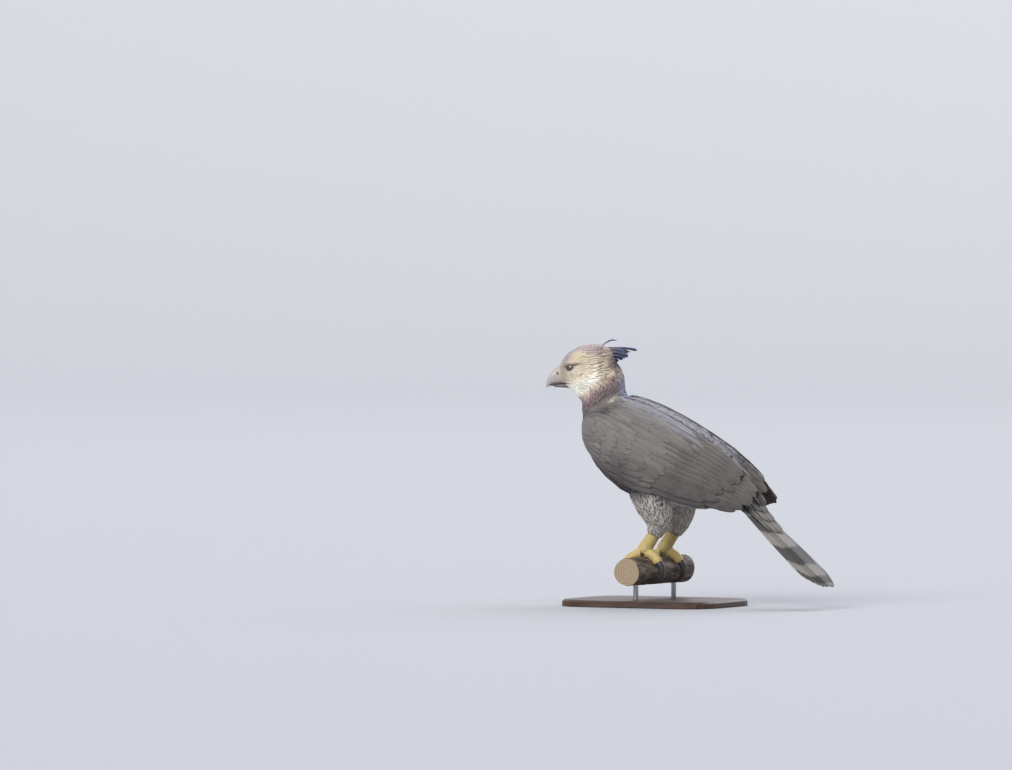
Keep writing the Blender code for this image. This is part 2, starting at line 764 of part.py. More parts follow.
def make_tail(torso):
    """The tail: a short core of coverts, twelve long feathers in layers and the coverts' tips."""
    rings = []
    for share in np.linspace(0, 1, 5):
        half = TAIL_STUB_HALF[0] + (TAIL_STUB_HALF[1] - TAIL_STUB_HALF[0]) * share
        thick = TAIL_STUB_THICK * (1 - share) ** 0.8 + 0.003
        ring = []
        for turn in np.linspace(0, 2 * math.pi, 12, endpoint=False):
            place = (TAIL_STUB * share, half * math.cos(turn), thick * math.sin(turn) - 0.005 * share)
            ring.append(tail_place(*place))
        rings.append(ring)
    tips = (tail_place(-0.01, 0, 0), tail_place(TAIL_STUB + 0.006, 0, -0.005))
    tail = loft("tail", rings, tips, "dark_feather")
    cut_clear(tail, torso)
    feathers = []
    for k in range(6):
        for side in (-1, 1):
            layer = (2 * k + (side > 0)) if k < 2 else k + 2
            level = 0.001 - RECTRIX_LAYER * layer
            length = TAIL_LENGTH - 0.004 * k * k * 0.35
            tip = side * (0.006 + 0.0095 * k)
            feathers.append(
                tail_vane(length, side * (0.003 + 0.0045 * k), tip, level, RECTRIX_HALF_WIDTH)
            )
    for i in range(TAIL_COVERTS):
        off = i - TAIL_COVERTS // 2
        across = off * TAIL_COVERT_HALF_WIDTH
        length = TAIL_COVERT_LENGTH - 0.007 * abs(off)
        level = 0.0045 + 0.0025 * (i % 2)
        feathers.append(tail_vane(length, across * 0.8, across, level, TAIL_COVERT_HALF_WIDTH))
    combine(tail, feathers, "UNION")
    return tail


# Legs, feet and claws


def perch_centre():
    return PERCH_TOP - PERCH_RADIUS


def make_perch():
    """A cut length of branch, a little crooked and uneven, along Y."""
    rings = []
    sides = 16
    for y in np.linspace(-PERCH_LENGTH / 2, PERCH_LENGTH / 2, 9):
        ring = []
        for turn in np.linspace(0, 2 * math.pi, sides, endpoint=False):
            uneven = 1 + 0.025 * math.sin(3 * turn + y * 40) * (abs(y) > 0.085)
            radius = PERCH_RADIUS * uneven
            ring.append((radius * math.sin(turn), y, perch_centre() + radius * math.cos(turn)))
        rings.append(ring)
    tips = [(0, y, perch_centre()) for y in (-PERCH_LENGTH / 2, PERCH_LENGTH / 2)]
    return loft("perch", rings, tips, "bark")


def toe_path(foot_y, start, stop, splay, height, steps):
    """Points over the branch, from one angle off its top to another; forward is positive."""
    path = []
    for share in np.linspace(0, 1, steps):
        angle = math.radians(start + (stop - start) * share)
        radius = PERCH_RADIUS + height(share)
        path.append(
            (
                -radius * math.sin(angle),
                foot_y + splay * (0.35 + 0.65 * share),
                perch_centre() + radius * math.cos(angle),
            )
        )
    return path


# Thigh and tarsus in millimetres: x, outward place for the thigh, z and radius
THIGH = ((12, 60, 300, 50), (20, 60, 270, 55), (30, 58, 240, 51), (38, 54, 212, 41), (42, 51, 190, 29))
TARSUS = ((44, 204, 16.5), (34, 186, 16), (20, 164, 15.5), (7, 146, 16.5), (0, 134, 18))
TOE_SWELL = (1.05, 1.0, 0.92, 0.98, 0.86, 0.92, 0.78)
# Each toe: angles off the branch's top at root and tip, splay, radius, and its claw's turn and radius
TOES = {
    "inner": (8, 78, -0.030, 0.0105, 62, 0.0080),
    "middle": (8, 92, 0.0, 0.0105, 58, 0.0075),
    "outer": (8, 74, 0.028, 0.0095, 52, 0.0070),
    "hind": (-8, -66, -0.006, 0.0115, -84, 0.0090),
}


def make_leg(side, perch, torso):
    """Thigh, bare tarsus, four toes round the branch and their claws."""
    y = FOOT_OFFSET * side
    word = side_name(side)
    thigh_path = [(x * MM, out * MM * side, z * MM) for x, out, z, _ in THIGH]
    thigh = tube("thigh_" + word, thigh_path, [row[-1] * MM for row in THIGH], 16, "white_feather")
    cut_clear(thigh, torso)
    tarsus_path = [(x * MM, y, z * MM) for x, z, _ in TARSUS]
    tarsus = tube("tarsus_" + word, tarsus_path, [row[-1] * MM for row in TARSUS], 12, "leg_skin")
    cut_clear(tarsus, thigh, perch)
    toes = []
    for toe_name, (start, stop, splay, radius, claw_turn, claw_radius) in TOES.items():
        splay = splay * -side if toe_name != "middle" else 0
        path = toe_path(y, start, stop, splay, lambda s, r=radius: r * (0.85 - 0.1 * s), 7)
        radii = [radius * k for k in TOE_SWELL]
        toe = tube(f"toe_{word}_{toe_name}", path, radii, 8, "leg_skin", up=(0, 1, 0))
        cut_clear(toe, perch, tarsus, *toes)
        toes.append(toe)
        claw = make_claw(f"claw_{word}_{toe_name}", y, stop, splay, claw_turn, claw_radius, radius)
        cut_clear(claw, perch, toe)
    return thigh, tarsus


def make_claw(name, foot_y, stop, splay, turn, radius, toe_radius):
    path = []
    radii = []
    for share in np.linspace(0, 1, 6):
        angle = math.radians(stop - math.copysign(6, turn) + turn * share)
        lift = toe_radius * 0.75 + 0.007 * math.sin(math.pi * min(1, share * 1.1))
        lift = lift * (1 - share) + 0.0022 * share + 0.004 * math.sin(math.pi * share)
        reach = PERCH_RADIUS + lift
        path.append(
            (
                -reach * math.sin(angle),
                foot_y + splay * (1 + 0.25 * share),
                perch_centre() + reach * math.cos(angle),
            )
        )
        radii.append(radius * (1 - share) ** 0.75 + 0.0007)
    return tube(name, path, radii, 8, "horn", up=(0, 1, 0))


# Stand


def make_stand(perch):
    """A flat rounded base and two short rods up to the branch."""
    rings = []
    sides = 32
    for z, inset in BASE_LEVELS:
        ring = []
        for turn in np.linspace(0, 2 * math.pi, sides, endpoint=False):
            c, s = math.cos(turn), math.sin(turn)
            x = math.copysign(abs(c) ** BASE_ROUNDNESS, c) * (BASE_LENGTH / 2 - inset)
            y = math.copysign(abs(s) ** BASE_ROUNDNESS, s) * (BASE_WIDTH / 2 - inset)
            ring.append((x, y, z))
        rings.append(ring)
    base = loft("stand_base", rings, ((0, 0, 0), (0, 0, BASE_HEIGHT)), "base_wood")
    for side in (-1, 1):
        y = ROD_OFFSET * side
        foot, head = BASE_HEIGHT + GAP, perch_centre()
        path = [(0, y, z) for z in np.linspace(foot, head, 3)]
        rod = tube("stand_rod_" + side_name(side), path, [ROD_RADIUS] * 3, 16, "steel", (1, 0, 0), 1, 0)
        cut_clear(rod, perch)
    return base


def main():
    for old in list(bpy.data.objects):
        bpy.data.objects.remove(old)
    torso = make_torso()
    head, neck = make_head_and_neck(torso)
    make_bill(head)
    for side in (-1, 1):
        make_eye(head, side)
    perch = make_perch()
    tail = make_tail(torso)
    for side in (-1, 1):
        thigh, _ = make_leg(side, perch, torso)
        make_wing(side, torso, neck, head, tail, thigh)
    make_stand(perch)


main()
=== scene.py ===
"""Looks of a life-size harpy eagle that grips a cut branch on a display stand.

One skin lies under a coat of feathers made as thin closed vanes. The bill, eyes, feet, claws,
branch and stand are modelled beside it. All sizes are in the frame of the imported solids, in metres.
"""

import json
import math
from contextlib import contextmanager

import bmesh
import bpy
import numpy as np
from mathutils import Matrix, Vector
from mathutils.bvhtree import BVHTree

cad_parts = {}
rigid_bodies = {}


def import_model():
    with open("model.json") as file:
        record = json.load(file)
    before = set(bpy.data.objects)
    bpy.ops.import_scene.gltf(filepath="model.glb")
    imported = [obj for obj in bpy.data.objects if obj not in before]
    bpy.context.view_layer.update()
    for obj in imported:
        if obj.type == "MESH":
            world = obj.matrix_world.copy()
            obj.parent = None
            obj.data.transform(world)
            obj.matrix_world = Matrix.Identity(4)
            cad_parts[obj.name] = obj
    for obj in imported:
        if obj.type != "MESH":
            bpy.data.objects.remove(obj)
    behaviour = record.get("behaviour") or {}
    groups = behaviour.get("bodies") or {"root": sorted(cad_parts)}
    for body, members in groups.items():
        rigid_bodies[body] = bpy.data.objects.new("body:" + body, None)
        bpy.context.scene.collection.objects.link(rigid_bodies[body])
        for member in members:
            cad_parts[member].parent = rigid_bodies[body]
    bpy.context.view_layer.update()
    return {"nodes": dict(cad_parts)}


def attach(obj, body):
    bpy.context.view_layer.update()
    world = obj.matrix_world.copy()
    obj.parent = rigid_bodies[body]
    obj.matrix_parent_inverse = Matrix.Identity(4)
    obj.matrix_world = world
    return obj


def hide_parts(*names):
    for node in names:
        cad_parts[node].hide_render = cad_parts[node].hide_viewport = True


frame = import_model()
NODES = frame["nodes"]

bl_info = {
    "name": "Harpy Eagle Looks",
    "version": (1, 0, 0),
    "blender": (4, 5, 0),
    "location": "View3D > Sidebar > Eagle",
    "description": "Builds the skin, feathers, bill, eyes, feet, branch, stand and stage of a harpy eagle",
    "category": "Object",
}

MM = 0.001
BODY = "root"
SIDES = (-1, 1)
SIDE_WORDS = ((-1, "left"), (1, "right"))

# Named sizes shared with the solids, in metres unless a comment says otherwise
HEAD_TURN = math.radians(28)
NECK_AXIS = np.array([-0.140, 0.0, 0.0])
EYE_RADIUS = 0.011
EYE_PROUD = 0.0022
PERCH_CENTRE = 0.084
PERCH_RADIUS = 0.033
PERCH_LENGTH = 0.290
FOOT_OFFSET = 0.050

# Ribs in millimetres: back x and z, front x and z, half width
HEAD_RIBS = (
    (-35, 572, -36, 532, 20),
    (-30, 591, -33, 508, 36),
    (-18, 606, -22, 494, 46),
    (4, 614, 0, 486, 51),
    (30, 615, 26, 484, 52),
    (54, 610, 50, 492, 48),
    (74, 599, 68, 506, 41),
    (88, 585, 80, 514.5, 31),
    (98, 569, 88, 518, 20),
    (105, 561, 95, 521, 14),
)
HEAD_ENDS = ((-38, 552), (104, 543))
BILL_RIBS = (
    (101, 562, 78, 523.5, 16.0),
    (109, 557.5, 97, 522, 12.0),
    (119, 549, 110, 521, 9.5),
    (127, 537, 118.5, 519.5, 7.0),
    (130.5, 526, 123.5, 517, 4.6),
    (131.5, 518.5, 127, 513.5, 2.8),
)
BILL_ENDS = ((86, 545), (130, 510.5))
JAW_RIBS = (
    (80, 522.5, 76, 510.5, 12.5),
    (98, 521, 95, 512, 9.5),
    (113, 519.5, 110, 513, 6.5),
)
JAW_ENDS = ((71, 516.5), (118, 516.5))
MOUTH_RIBS = (
    (84, 523.5, 84, 519.5, 11.5),
    (98, 523.5, 98, 519.5, 10),
    (110, 522.5, 109.5, 518, 7.6),
    (120, 519.5, 119, 516, 5.0),
)
MOUTH_ENDS = ((76, 521.5), (124, 515.5))
CERE_CUT = ((112.5, 560), (106, 519))
# The nostrils' middle: forward and up in the head's frame
NOSTRIL = (104.5, 545)

HEAD_SQUARENESS = 0.92
BILL_SQUARENESS = 0.9

# A place on the head's skin: share of the way from hindmost to foremost rib, height in millimetres
EYE_PLACE = (0.715, 559.5)
BROW = ((0.90, 561.5), (0.81, 567), (0.71, 569.5), (0.62, 570.5), (0.54, 568.5))
# How much wider than high the opening between the lids is
EYE_OVAL = 1.5

# Folded wing stations in millimetres: upper edge x, y, z, lower edge x, y, z, bulge and thickness
WING_STATIONS = (
    (-146, 62, 440, -150, 74, 402, 12, 12),
    (-126, 50, 470, -136, 86, 374, 24, 20),
    (-88, 35, 492, -103, 98, 336, 42, 28),
    (-32, 26, 483, -54, 104, 300, 52, 30),
    (38, 22, 456, 12, 104, 272, 54, 28),
    (112, 20, 419, 88, 98, 252, 47, 24),
    (182, 19, 377, 160, 86, 238, 35, 18),
    (238, 20, 333, 224, 72, 226, 23, 13),
    (287, 28, 287, 277, 60, 220, 12, 9),
)

TAIL_ROOT = np.array([0.188, 0.0, 0.300])
TAIL_PITCH = math.radians(42)
TAIL_LENGTH = 0.368


# Skin regions
HEAD, NECK, TORSO, THIGH, WING, TAIL = range(6)


# Numbers and places


def linear(red, green, blue):
    """A colour of screen values, 0 to 255, as linear light."""
    values = np.array([red, green, blue], float) / 255
    return np.where(values <= 0.04045, values / 12.92, ((values + 0.055) / 1.055) ** 2.4)


def unit(vectors):
    """The vectors of the last axis at length one."""
    vectors = np.asarray(vectors, float)
    return vectors / np.maximum(np.linalg.norm(vectors, axis=-1, keepdims=True), 1e-9)


def fade(low, high, values):
    """0 below low, 1 above high, and a smooth step between."""
    share = np.clip((np.asarray(values, float) - low) / (high - low), 0, 1)
    return share * share * (3 - 2 * share)


def mix(first, second, share):
    """Rows of colour, from first at share 0 to second at 1."""
    share = np.asarray(share, float)[..., None]
    return first * (1 - share) + second * share


def ripple(points, scale, seed):
    """Soft noise of about -1 to 1 over points, with waves of about the given size."""
    rng = np.random.default_rng(seed)
    total = np.zeros(points.shape[:-1])
    for octave in range(7):
        way = unit(rng.normal(size=3)) * (1 + 0.3 * octave) * 2 * math.pi / scale
        total += np.sin(points @ way + rng.uniform(0, 2 * math.pi))
    return total / 3.0


def follow(stations, share):
    """The stations' row at a share of their length, on a smooth curve, straight on past the ends."""
    rows = np.array(stations, float)
    slopes = np.gradient(rows, axis=0)
    place = share * (len(rows) - 1)
    if place <= 0:
        return rows[0] + slopes[0] * place
    if place >= len(rows) - 1:
        return rows[-1] + slopes[-1] * (place - len(rows) + 1)
    i = int(place)
    t = place - i
    start = (1 + 2 * t) * (1 - t) ** 2 * rows[i] + t * (1 - t) ** 2 * slopes[i]
    end = t * t * (3 - 2 * t) * rows[i + 1] - t * t * (1 - t) * slopes[i + 1]
    return start + end


def rib_point(ribs, share, angle, squareness=1.0):
    """A point on a body of ribs: angle 0 is its back, a quarter turn its side at +Y."""
    back_x, back_z, front_x, front_z, half_width = follow(ribs, share)
    up = np.array([back_x - front_x, 0, back_z - front_z]) / 2
    middle = np.array([back_x + front_x, 0, back_z + front_z]) / 2
    c, s = math.cos(angle), math.sin(angle)
    c = math.copysign(abs(c) ** squareness, c)
    s = math.copysign(abs(s) ** squareness, s)
    return (middle + up * c + np.array([0, half_width * s, 0])) * MM


HEAD_FORWARD = np.array([-math.cos(HEAD_TURN), -math.sin(HEAD_TURN), 0])
HEAD_RIGHT = np.array([-math.sin(HEAD_TURN), math.cos(HEAD_TURN), 0])
UP = np.array([0.0, 0.0, 1.0])


def head_place(points):
    """Carries points of the head's frame (forward, right, up) to the model's."""
    points = np.asarray(points, float)
    forward, right, up = points[..., 0:1], points[..., 1:2], points[..., 2:3]
    return NECK_AXIS + HEAD_FORWARD * forward + HEAD_RIGHT * right + UP * up


def in_head(points):
    """Points of the model as forward, right and up of the head's frame, in millimetres."""
    away = points - NECK_AXIS
    return np.stack([away @ HEAD_FORWARD, away @ HEAD_RIGHT, away @ UP], axis=-1) / MM


def head_skin(share, height, side):
    """The point of the head's skin at a share of its length and a height, on one side."""
    low, high = 0.0, math.pi
    for _ in range(30):
        angle = (low + high) / 2
        if rib_point(HEAD_RIBS, share, angle * side, HEAD_SQUARENESS)[2] > height * MM:
            low = angle
        else:
            high = angle
    return head_place(rib_point(HEAD_RIBS, share, angle * side, HEAD_SQUARENESS))


def eye_frame(side):
    """One eye's place on the skin, and the directions along its lids, up and out of the head."""
    share, height = EYE_PLACE
    skin = head_skin(share, height, side)
    along = unit(head_skin(share + 0.04, height, side) - head_skin(share - 0.04, height, side))
    up = head_skin(share, height + 4, side) - head_skin(share, height - 4, side)
    up = unit(up - along * np.dot(up, along))
    out = np.cross(along, up) * side
    if np.dot(out, skin - head_place((0.08, 0, height * MM))) < 0:
        out = -out
    return skin, along, up, out


def eye_centre(side):
    skin, _, _, out = eye_frame(side)
    return skin - out * (EYE_RADIUS - EYE_PROUD)


def wing_point(share, down, lift, side):
    """A point of a folded wing's outer face: down is 0 at its upper edge, 1 at its lower one."""
    row = follow(WING_STATIONS, share)
    upper, lower = row[0:3], row[3:6]
    bulge = row[6] * max(0, 4 * down * (1 - down)) ** 0.75
    point = upper + (lower - upper) * down
    outward = unit(np.array([0, 1, 0.25]))
    point = point + outward * (bulge + lift / MM)
    return np.array([point[0], point[1] * side, point[2]]) * MM


def tail_place(along, across, up):
    """A point of the tail's frame: along it, to the right and over its upper face."""
    d = np.array([math.cos(TAIL_PITCH), 0, -math.sin(TAIL_PITCH)])
    n = np.array([math.sin(TAIL_PITCH), 0, math.cos(TAIL_PITCH)])
    return TAIL_ROOT + d * along + n * up + np.array([0, across, 0])


# Meshes


def deselect():
    bpy.ops.object.select_all(action="DESELECT")


def activate(obj, *others):
    """Selects these objects alone, the first one active."""
    deselect()
    for each in (obj, *others):
        each.select_set(True)
    bpy.context.view_layer.objects.active = obj


def apply_modifier(obj, kind, **settings):
    """Adds a modifier with these settings and applies it."""
    activate(obj)
    modifier = obj.modifiers.new(kind.title(), kind)
    for name, value in settings.items():
        setattr(modifier, name, value)
    bpy.ops.object.modifier_apply(modifier=modifier.name)


def read(items, name, width=1, kind=float):
    """One property of all the items as an array, with a row for each where it is wider than one."""
    values = np.empty(len(items) * width, kind)
    items.foreach_get(name, values)
    return values.reshape(-1, width) if width > 1 else values


def points_of(obj):
    return read(obj.data.vertices, "co", 3)


def normals_of(obj):
    return read(obj.data.vertices, "normal", 3)


def keep(mesh, name, kind, values):
    """Stores values of the points as an attribute of the mesh."""
    if kind == "FLOAT_COLOR":
        values = np.concatenate([values, np.ones((len(values), 1))], axis=1)
    layers = mesh.color_attributes if kind == "FLOAT_COLOR" else mesh.attributes
    layer = layers.new(name=name, type=kind, domain="POINT")
    field = {"FLOAT_COLOR": "color", "FLOAT_VECTOR": "vector"}.get(kind, "value")
    layer.data.foreach_set(field, values.ravel())


def tree_of(obj):
    """The piece's surface for finding near points and hits."""
    shape = bmesh.new()
    shape.from_mesh(obj.data)
    tree = BVHTree.FromBMesh(shape)
    shape.free()
    return tree


def set_points(obj, points):
    obj.data.vertices.foreach_set("co", np.asarray(points, float).ravel())
    obj.data.update()


def smooth_faces(obj, angle=None):
    """Shades the piece smoothly, or only across edges flatter than the angle."""
    activate(obj)
    if angle is None:
        bpy.ops.object.shade_smooth()
    else:
        bpy.ops.object.shade_smooth_by_angle(angle=angle)


@contextmanager
def all_in_edit_mode(obj):
    """Edit mode on one piece with its whole mesh selected."""
    activate(obj)
    bpy.ops.object.mode_set(mode="EDIT")
    bpy.ops.mesh.select_all(action="SELECT")
    yield
    bpy.ops.object.mode_set(mode="OBJECT")


def outward_faces(obj):
    """Merges doubles and turns the faces outwards."""
    with all_in_edit_mode(obj):
        bpy.ops.mesh.remove_doubles(threshold=1e-6)
        bpy.ops.mesh.normals_make_consistent(inside=False)


def joined(parts):
    """The parts as one object."""
    activate(*parts)
    bpy.ops.object.join()
    return bpy.context.view_layer.objects.active


def shaped_ball(name, segments, rings, place):
    """A ball whose points are moved by place, called with share, angle and pole.

    share runs from 0 to 1 from end to end and angle from 0 to two pi around. pole is -1, 0 or 1.
    """
    deselect()
    bpy.ops.mesh.primitive_uv_sphere_add(segments=segments, ring_count=rings, radius=1)
    obj = bpy.context.object
    obj.name = obj.data.name = name
    moved = []
    for x, y, z in points_of(obj):
        turn = math.acos(max(-1, min(1, z))) / math.pi * rings
        pole = 1 if turn < 0.5 else (-1 if turn > rings - 0.5 else 0)
        share = 1 - (turn - 1) / (rings - 2)
        moved.append(place(share, math.atan2(y, x), pole))
    set_points(obj, moved)
    outward_faces(obj)
    return obj


def ribbed_ball(name, ribs, ends, segments, rings, place=lambda p: p, squareness=1.0):
    """A closed body of ribs, shaped from a ball."""
    tips = [place(np.array([end[0], 0, end[1]]) * MM) for end in ends]

    def put(share, angle, pole):
        if pole:
            return tips[(pole + 1) // 2]
        return place(rib_point(ribs, share, angle, squareness))

    return shaped_ball(name, segments, rings, put)


def copied_node(name):
    """A copy of a CAD node as a new object, with its place in its points."""
    copy = NODES[name].copy()
    copy.data = NODES[name].data.copy()
    copy.parent = None
    copy.matrix_world = NODES[name].matrix_world
    copy.data.materials.clear()
    bpy.context.scene.collection.objects.link(copy)
    activate(copy)
    bpy.ops.object.transform_apply(location=True, rotation=True, scale=True)
    outward_faces(copy)
    return copy


def remeshed(obj, voxel, smoothing):
    """One closed skin over all that the object holds."""
    apply_modifier(obj, "REMESH", mode="VOXEL", voxel_size=voxel)
    apply_modifier(obj, "SMOOTH", factor=0.5, iterations=smoothing)
    return obj


def finished(obj, name, slot, *nodes, material=None, smooth=True):
    """Names a piece, gives it its material and ties it to the frame."""
    obj.name = obj.data.name = name
    if material:
        obj.data.materials.clear()
        obj.data.materials.append(material)
    if smooth:
        smooth_faces(obj)
    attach(obj, BODY)
    if nodes:
        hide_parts(*nodes)
    return obj


def feathered(piece, slot, material, *nodes):
    """Ends a piece of feathers, which keeps the name that it was made with."""
    return finished(piece, piece.name, slot, *nodes, material=material, smooth=False)


# Feathers as batches of thin closed vanes

# Each ring's points: place across as a share of the half width, height as a share of the camber
NARROW_RING = ((-1, 0), (0, 1), (1, 0), (0, None))
WIDE_RING = ((-1, 0), (-0.55, 0.72), (0, 1), (0.55, 0.72), (1, 0), (0, None))
TUFT_PATCH = 0.003


def vane_faces(stations, around):
    """The faces of one vane: quads from ring to ring and a fan at each end."""
    faces = []
    for i in range(stations - 1):
        for j in range(around):
            k = (j + 1) % around
            faces.append((i * around + j, i * around + k, (i + 1) * around + k, (i + 1) * around + j))
    first, last = stations * around, stations * around + 1
    for j in range(around):
        k = (j + 1) % around
        faces.append((first, k, j))
        faces.append((last, (stations - 1) * around + j, (stations - 1) * around + k))
    return faces


class Vanes:
    """Collects batches of feathers and turns them into one mesh."""

    def __init__(self):
        self.points, self.colours, self.vane_uvs, self.bake_uvs = [], [], [], []
        self.corners, self.sizes = [], []
        self.total = 0

    def add(self, line, over, half, colour, bake, camber=0.25, thick=0.0005, roll=0.0, wide=False,
            patch=(TUFT_PATCH, TUFT_PATCH)):
        """Adds N feathers: line (N, S+1, 3) from root to tip, over (N, 3) or (N, S+1, 3), half (N, S).

        colour is (N, 3) or (N, S+1, 3) and bake (N, 2) is each root's place on the unwrap.
        """
        line = np.asarray(line, float)
        count, places = line.shape[:2]
        stations = places - 1
        along = unit(np.gradient(line, axis=1))
        over = np.broadcast_to(over if np.ndim(over) == 3 else over[:, None, :], line.shape)
        over = unit(over - along * np.sum(over * along, axis=-1, keepdims=True))
        across = np.cross(along, over)
        roll = np.broadcast_to(roll, (count,))[:, None, None]
        across, over = (
            across * np.cos(roll) + over * np.sin(roll),
            over * np.cos(roll) - across * np.sin(roll),
        )
        half = np.asarray(half, float)[..., None]
        colour = np.broadcast_to(colour if np.ndim(colour) == 3 else colour[:, None, :], line.shape)
        ring = WIDE_RING if wide else NARROW_RING
        around = len(ring)
        block = np.empty((count, stations * around + 2, 3))
        shade = np.empty_like(block)
        vane_uv = np.empty((stations * around + 2, 2))
        middle, rise = line[:, :-1], camber * half
        for j, (place, height) in enumerate(ring):
            lift = rise - thick if height is None else rise * height
            block[:, j:stations * around:around] = (
                middle + across[:, :-1] * half * place + over[:, :-1] * lift
            )
            shade[:, j:stations * around:around] = colour[:, :-1]
            vane_uv[j:stations * around:around, 0] = 0.5 + 0.5 * place
            vane_uv[j:stations * around:around, 1] = np.arange(stations) / stations
        start = line[:, 0] - along[:, 0] * np.linalg.norm(line[:, 1] - line[:, 0], axis=-1)[:, None] * 0.2
        block[:, -2] = start + over[:, 0] * rise[:, 0] * 0.5
        block[:, -1] = line[:, -1]
        shade[:, -2], shade[:, -1] = colour[:, 0], colour[:, -1]
        vane_uv[-2], vane_uv[-1] = (0.5, 0), (0.5, 1)
        faces = vane_faces(stations, around)
        corners = np.array([corner for face in faces for corner in face])
        size = block.shape[1]
        offsets = self.total + size * np.arange(count)
        self.corners.append((corners[None, :] + offsets[:, None]).ravel())
        self.sizes.append(np.tile([len(face) for face in faces], count))
        self.points.append(block.reshape(-1, 3))
        self.colours.append(shade.reshape(-1, 3))
        self.vane_uvs.append(np.tile(vane_uv, (count, 1)))
        bake_uv = np.asarray(bake, float)[:, None, :] + (vane_uv - 0.5)[None] * np.array(patch)
        self.bake_uvs.append(bake_uv.reshape(-1, 2))
        self.total += size * count

    def add_wide(self, feathers, **settings):
        """Adds feathers given as (line, over, half widths, colours, place on the unwrap) each."""
        self.add(*map(np.array, zip(*feathers)), wide=True, **settings)

    def make(self, name):
        """The collected feathers as one smooth-shaded object."""
        mesh = bpy.data.meshes.new(name)
        points = np.concatenate(self.points)
        corners = np.concatenate(self.corners)
        sizes = np.concatenate(self.sizes)
        mesh.vertices.add(len(points))
        mesh.vertices.foreach_set("co", points.ravel())
        mesh.loops.add(len(corners))
        mesh.loops.foreach_set("vertex_index", corners.astype(np.int32))
        mesh.polygons.add(len(sizes))
        starts = np.concatenate([[0], np.cumsum(sizes)[:-1]])
        mesh.polygons.foreach_set("loop_start", starts.astype(np.int32))
        mesh.polygons.foreach_set("use_smooth", np.ones(len(sizes), bool))
        for label, values in (("OFBake", self.bake_uvs), ("Vane", self.vane_uvs)):
            layer = mesh.uv_layers.new(name=label)
            layer.data.foreach_set("uv", np.concatenate(values)[corners].ravel())
        keep(mesh, "Plumage", "FLOAT_COLOR", np.concatenate(self.colours))
        mesh.update(calc_edges=True)
        mesh.validate()
        obj = bpy.data.objects.new(name, mesh)
        bpy.context.scene.collection.objects.link(obj)
        return obj


def profile(widths):
    """The shares of a vane's length, its tip with them, and its half widths at all but the tip."""
    shares, halves = np.array(widths).T
    return np.append(shares, 1.0), halves


def toned(base, vary, rng, root=1.0, tip=1.0):
    """Colours along one feather, darker or paler to root and tip, and a little apart from the next one's."""
    return np.clip(base * (1 + rng.normal(0, vary)) * np.linspace(root, tip, len(base))[:, None], 0.01, 0.9)


# Markings


BACK_LINE = np.array(
    [(-104, 496), (-42, 485), (28, 456), (96, 418), (152, 380), (197, 343), (230, 308)], float)
# Lower edge of the dark neck: x and z in millimetres
COLLAR = np.array(
    [(-184, 440), (-150, 445), (-124, 450), (-101, 454), (-76, 459), (-56, 468), (-40, 494)], float)
# Lower edge of the pale hood in the head's frame: forward and up
HOOD = np.array(
    [(-60, 546), (-40, 542), (-20, 535), (-8, 531), (8, 525), (26, 514), (50, 493), (70, 480)], float)


# How dark the body's colours are kept, so that the pale head can be lit brightly
BODY_TONE = 0.72


def spot(across, up, place, radii):
    """A soft spot round a place: 1 at its middle, near 0 outside its radii."""
    return np.exp(-(((across - place[0]) / radii[0]) ** 2) - ((up - place[1]) / radii[1]) ** 2)


def painted(base, *layers):
    """The base under layers of (screen colour, share), laid over it in turn."""
    for colour, share in layers:
        base = mix(base, linear(*colour), share)
    return base


def head_colour(f, up, side, fine):
    """The hood's colours in the head's frame, in millimetres."""
    throat = fade(549, 525, up + 0.35 * (f - 40)) * fade(-4, 22, f)
    line = np.exp(-((up - 565.5 + 0.22 * (f - 66)) / 2.6) ** 2) * fade(52, 60, f) * fade(92, 82, f)
    eye = np.clip(spot(f, up, (77, 560), (13, 5.5)) + line, 0, 1)
    head = painted(
        np.broadcast_to(linear(226, 212, 190), (*f.shape, 3)),
        ((214, 200, 166), spot(f, up, (58, 582), (30, 12)) * 0.85),
        ((188, 174, 172), fade(587, 600, up + 0.10 * (60 - f)) * 0.85),
        ((150, 130, 138), fade(594, 609, up) * fade(-0.9, 0.8, fine) * 0.75),
        ((166, 154, 160), fade(74, 90, f + 0.5 * (up - 570)) * fade(560, 572, up) * 0.95),
        ((172, 162, 146), fade(74, 92, f) * fade(572, 556, up) * 0.85),
        ((205, 192, 168), spot(f, up, (48, 556), (5, 20)) * 0.6),
        ((246, 234, 212), spot(f, up, (32, 546), (22, 16)) * 0.8),
        # Brown streak down the facial disc's rear edge: painted shadow of the disc's rim
        ((158, 138, 116), spot(f, up, (3, 578), (5.5, 34)) * fade(20, 36, side) * (0.75 + 0.2 * fine)),
        ((180, 162, 144), fade(-3, -9, f) * 0.85),
        ((116, 100, 108), spot(f, up, (-24, 574), (8, 22)) * 0.9),
        ((240, 224, 202), spot(f, up, (-27, 543), (16, 13)) * fade(8, 22, side)),
    )
    return painted(
        head * 0.86,
        ((255, 248, 228), throat),
        ((86, 78, 92), fade(-20, -32, f) * fade(552, 566, up) * 0.9),
        ((84, 70, 66), eye * fade(10, 18, side) * 0.95),
    )


def collar_colour(f, up, side, edge):
    """The dark neck under the hood: rufous along the hood, slate behind, a pale crescent low down."""
    run, off = 0.54 * (up - 483) - 0.84 * (f + 24), 0.84 * (up - 483) + 0.54 * (f + 24)
    return painted(
        np.broadcast_to(linear(116, 106, 106), (*f.shape, 3)),
        ((138, 120, 128), fade(6, 36, f)),
        ((142, 147, 174), fade(-34, -48, f) * 0.95),
        ((184, 142, 130), np.exp(-(((edge - up - 5) / 7) ** 2)) * fade(-44, -10, f) * 0.85),
        ((238, 230, 212), spot(run, off, (0, 0), (15, 3.8)) * fade(18, 34, side) * 0.95),
    )


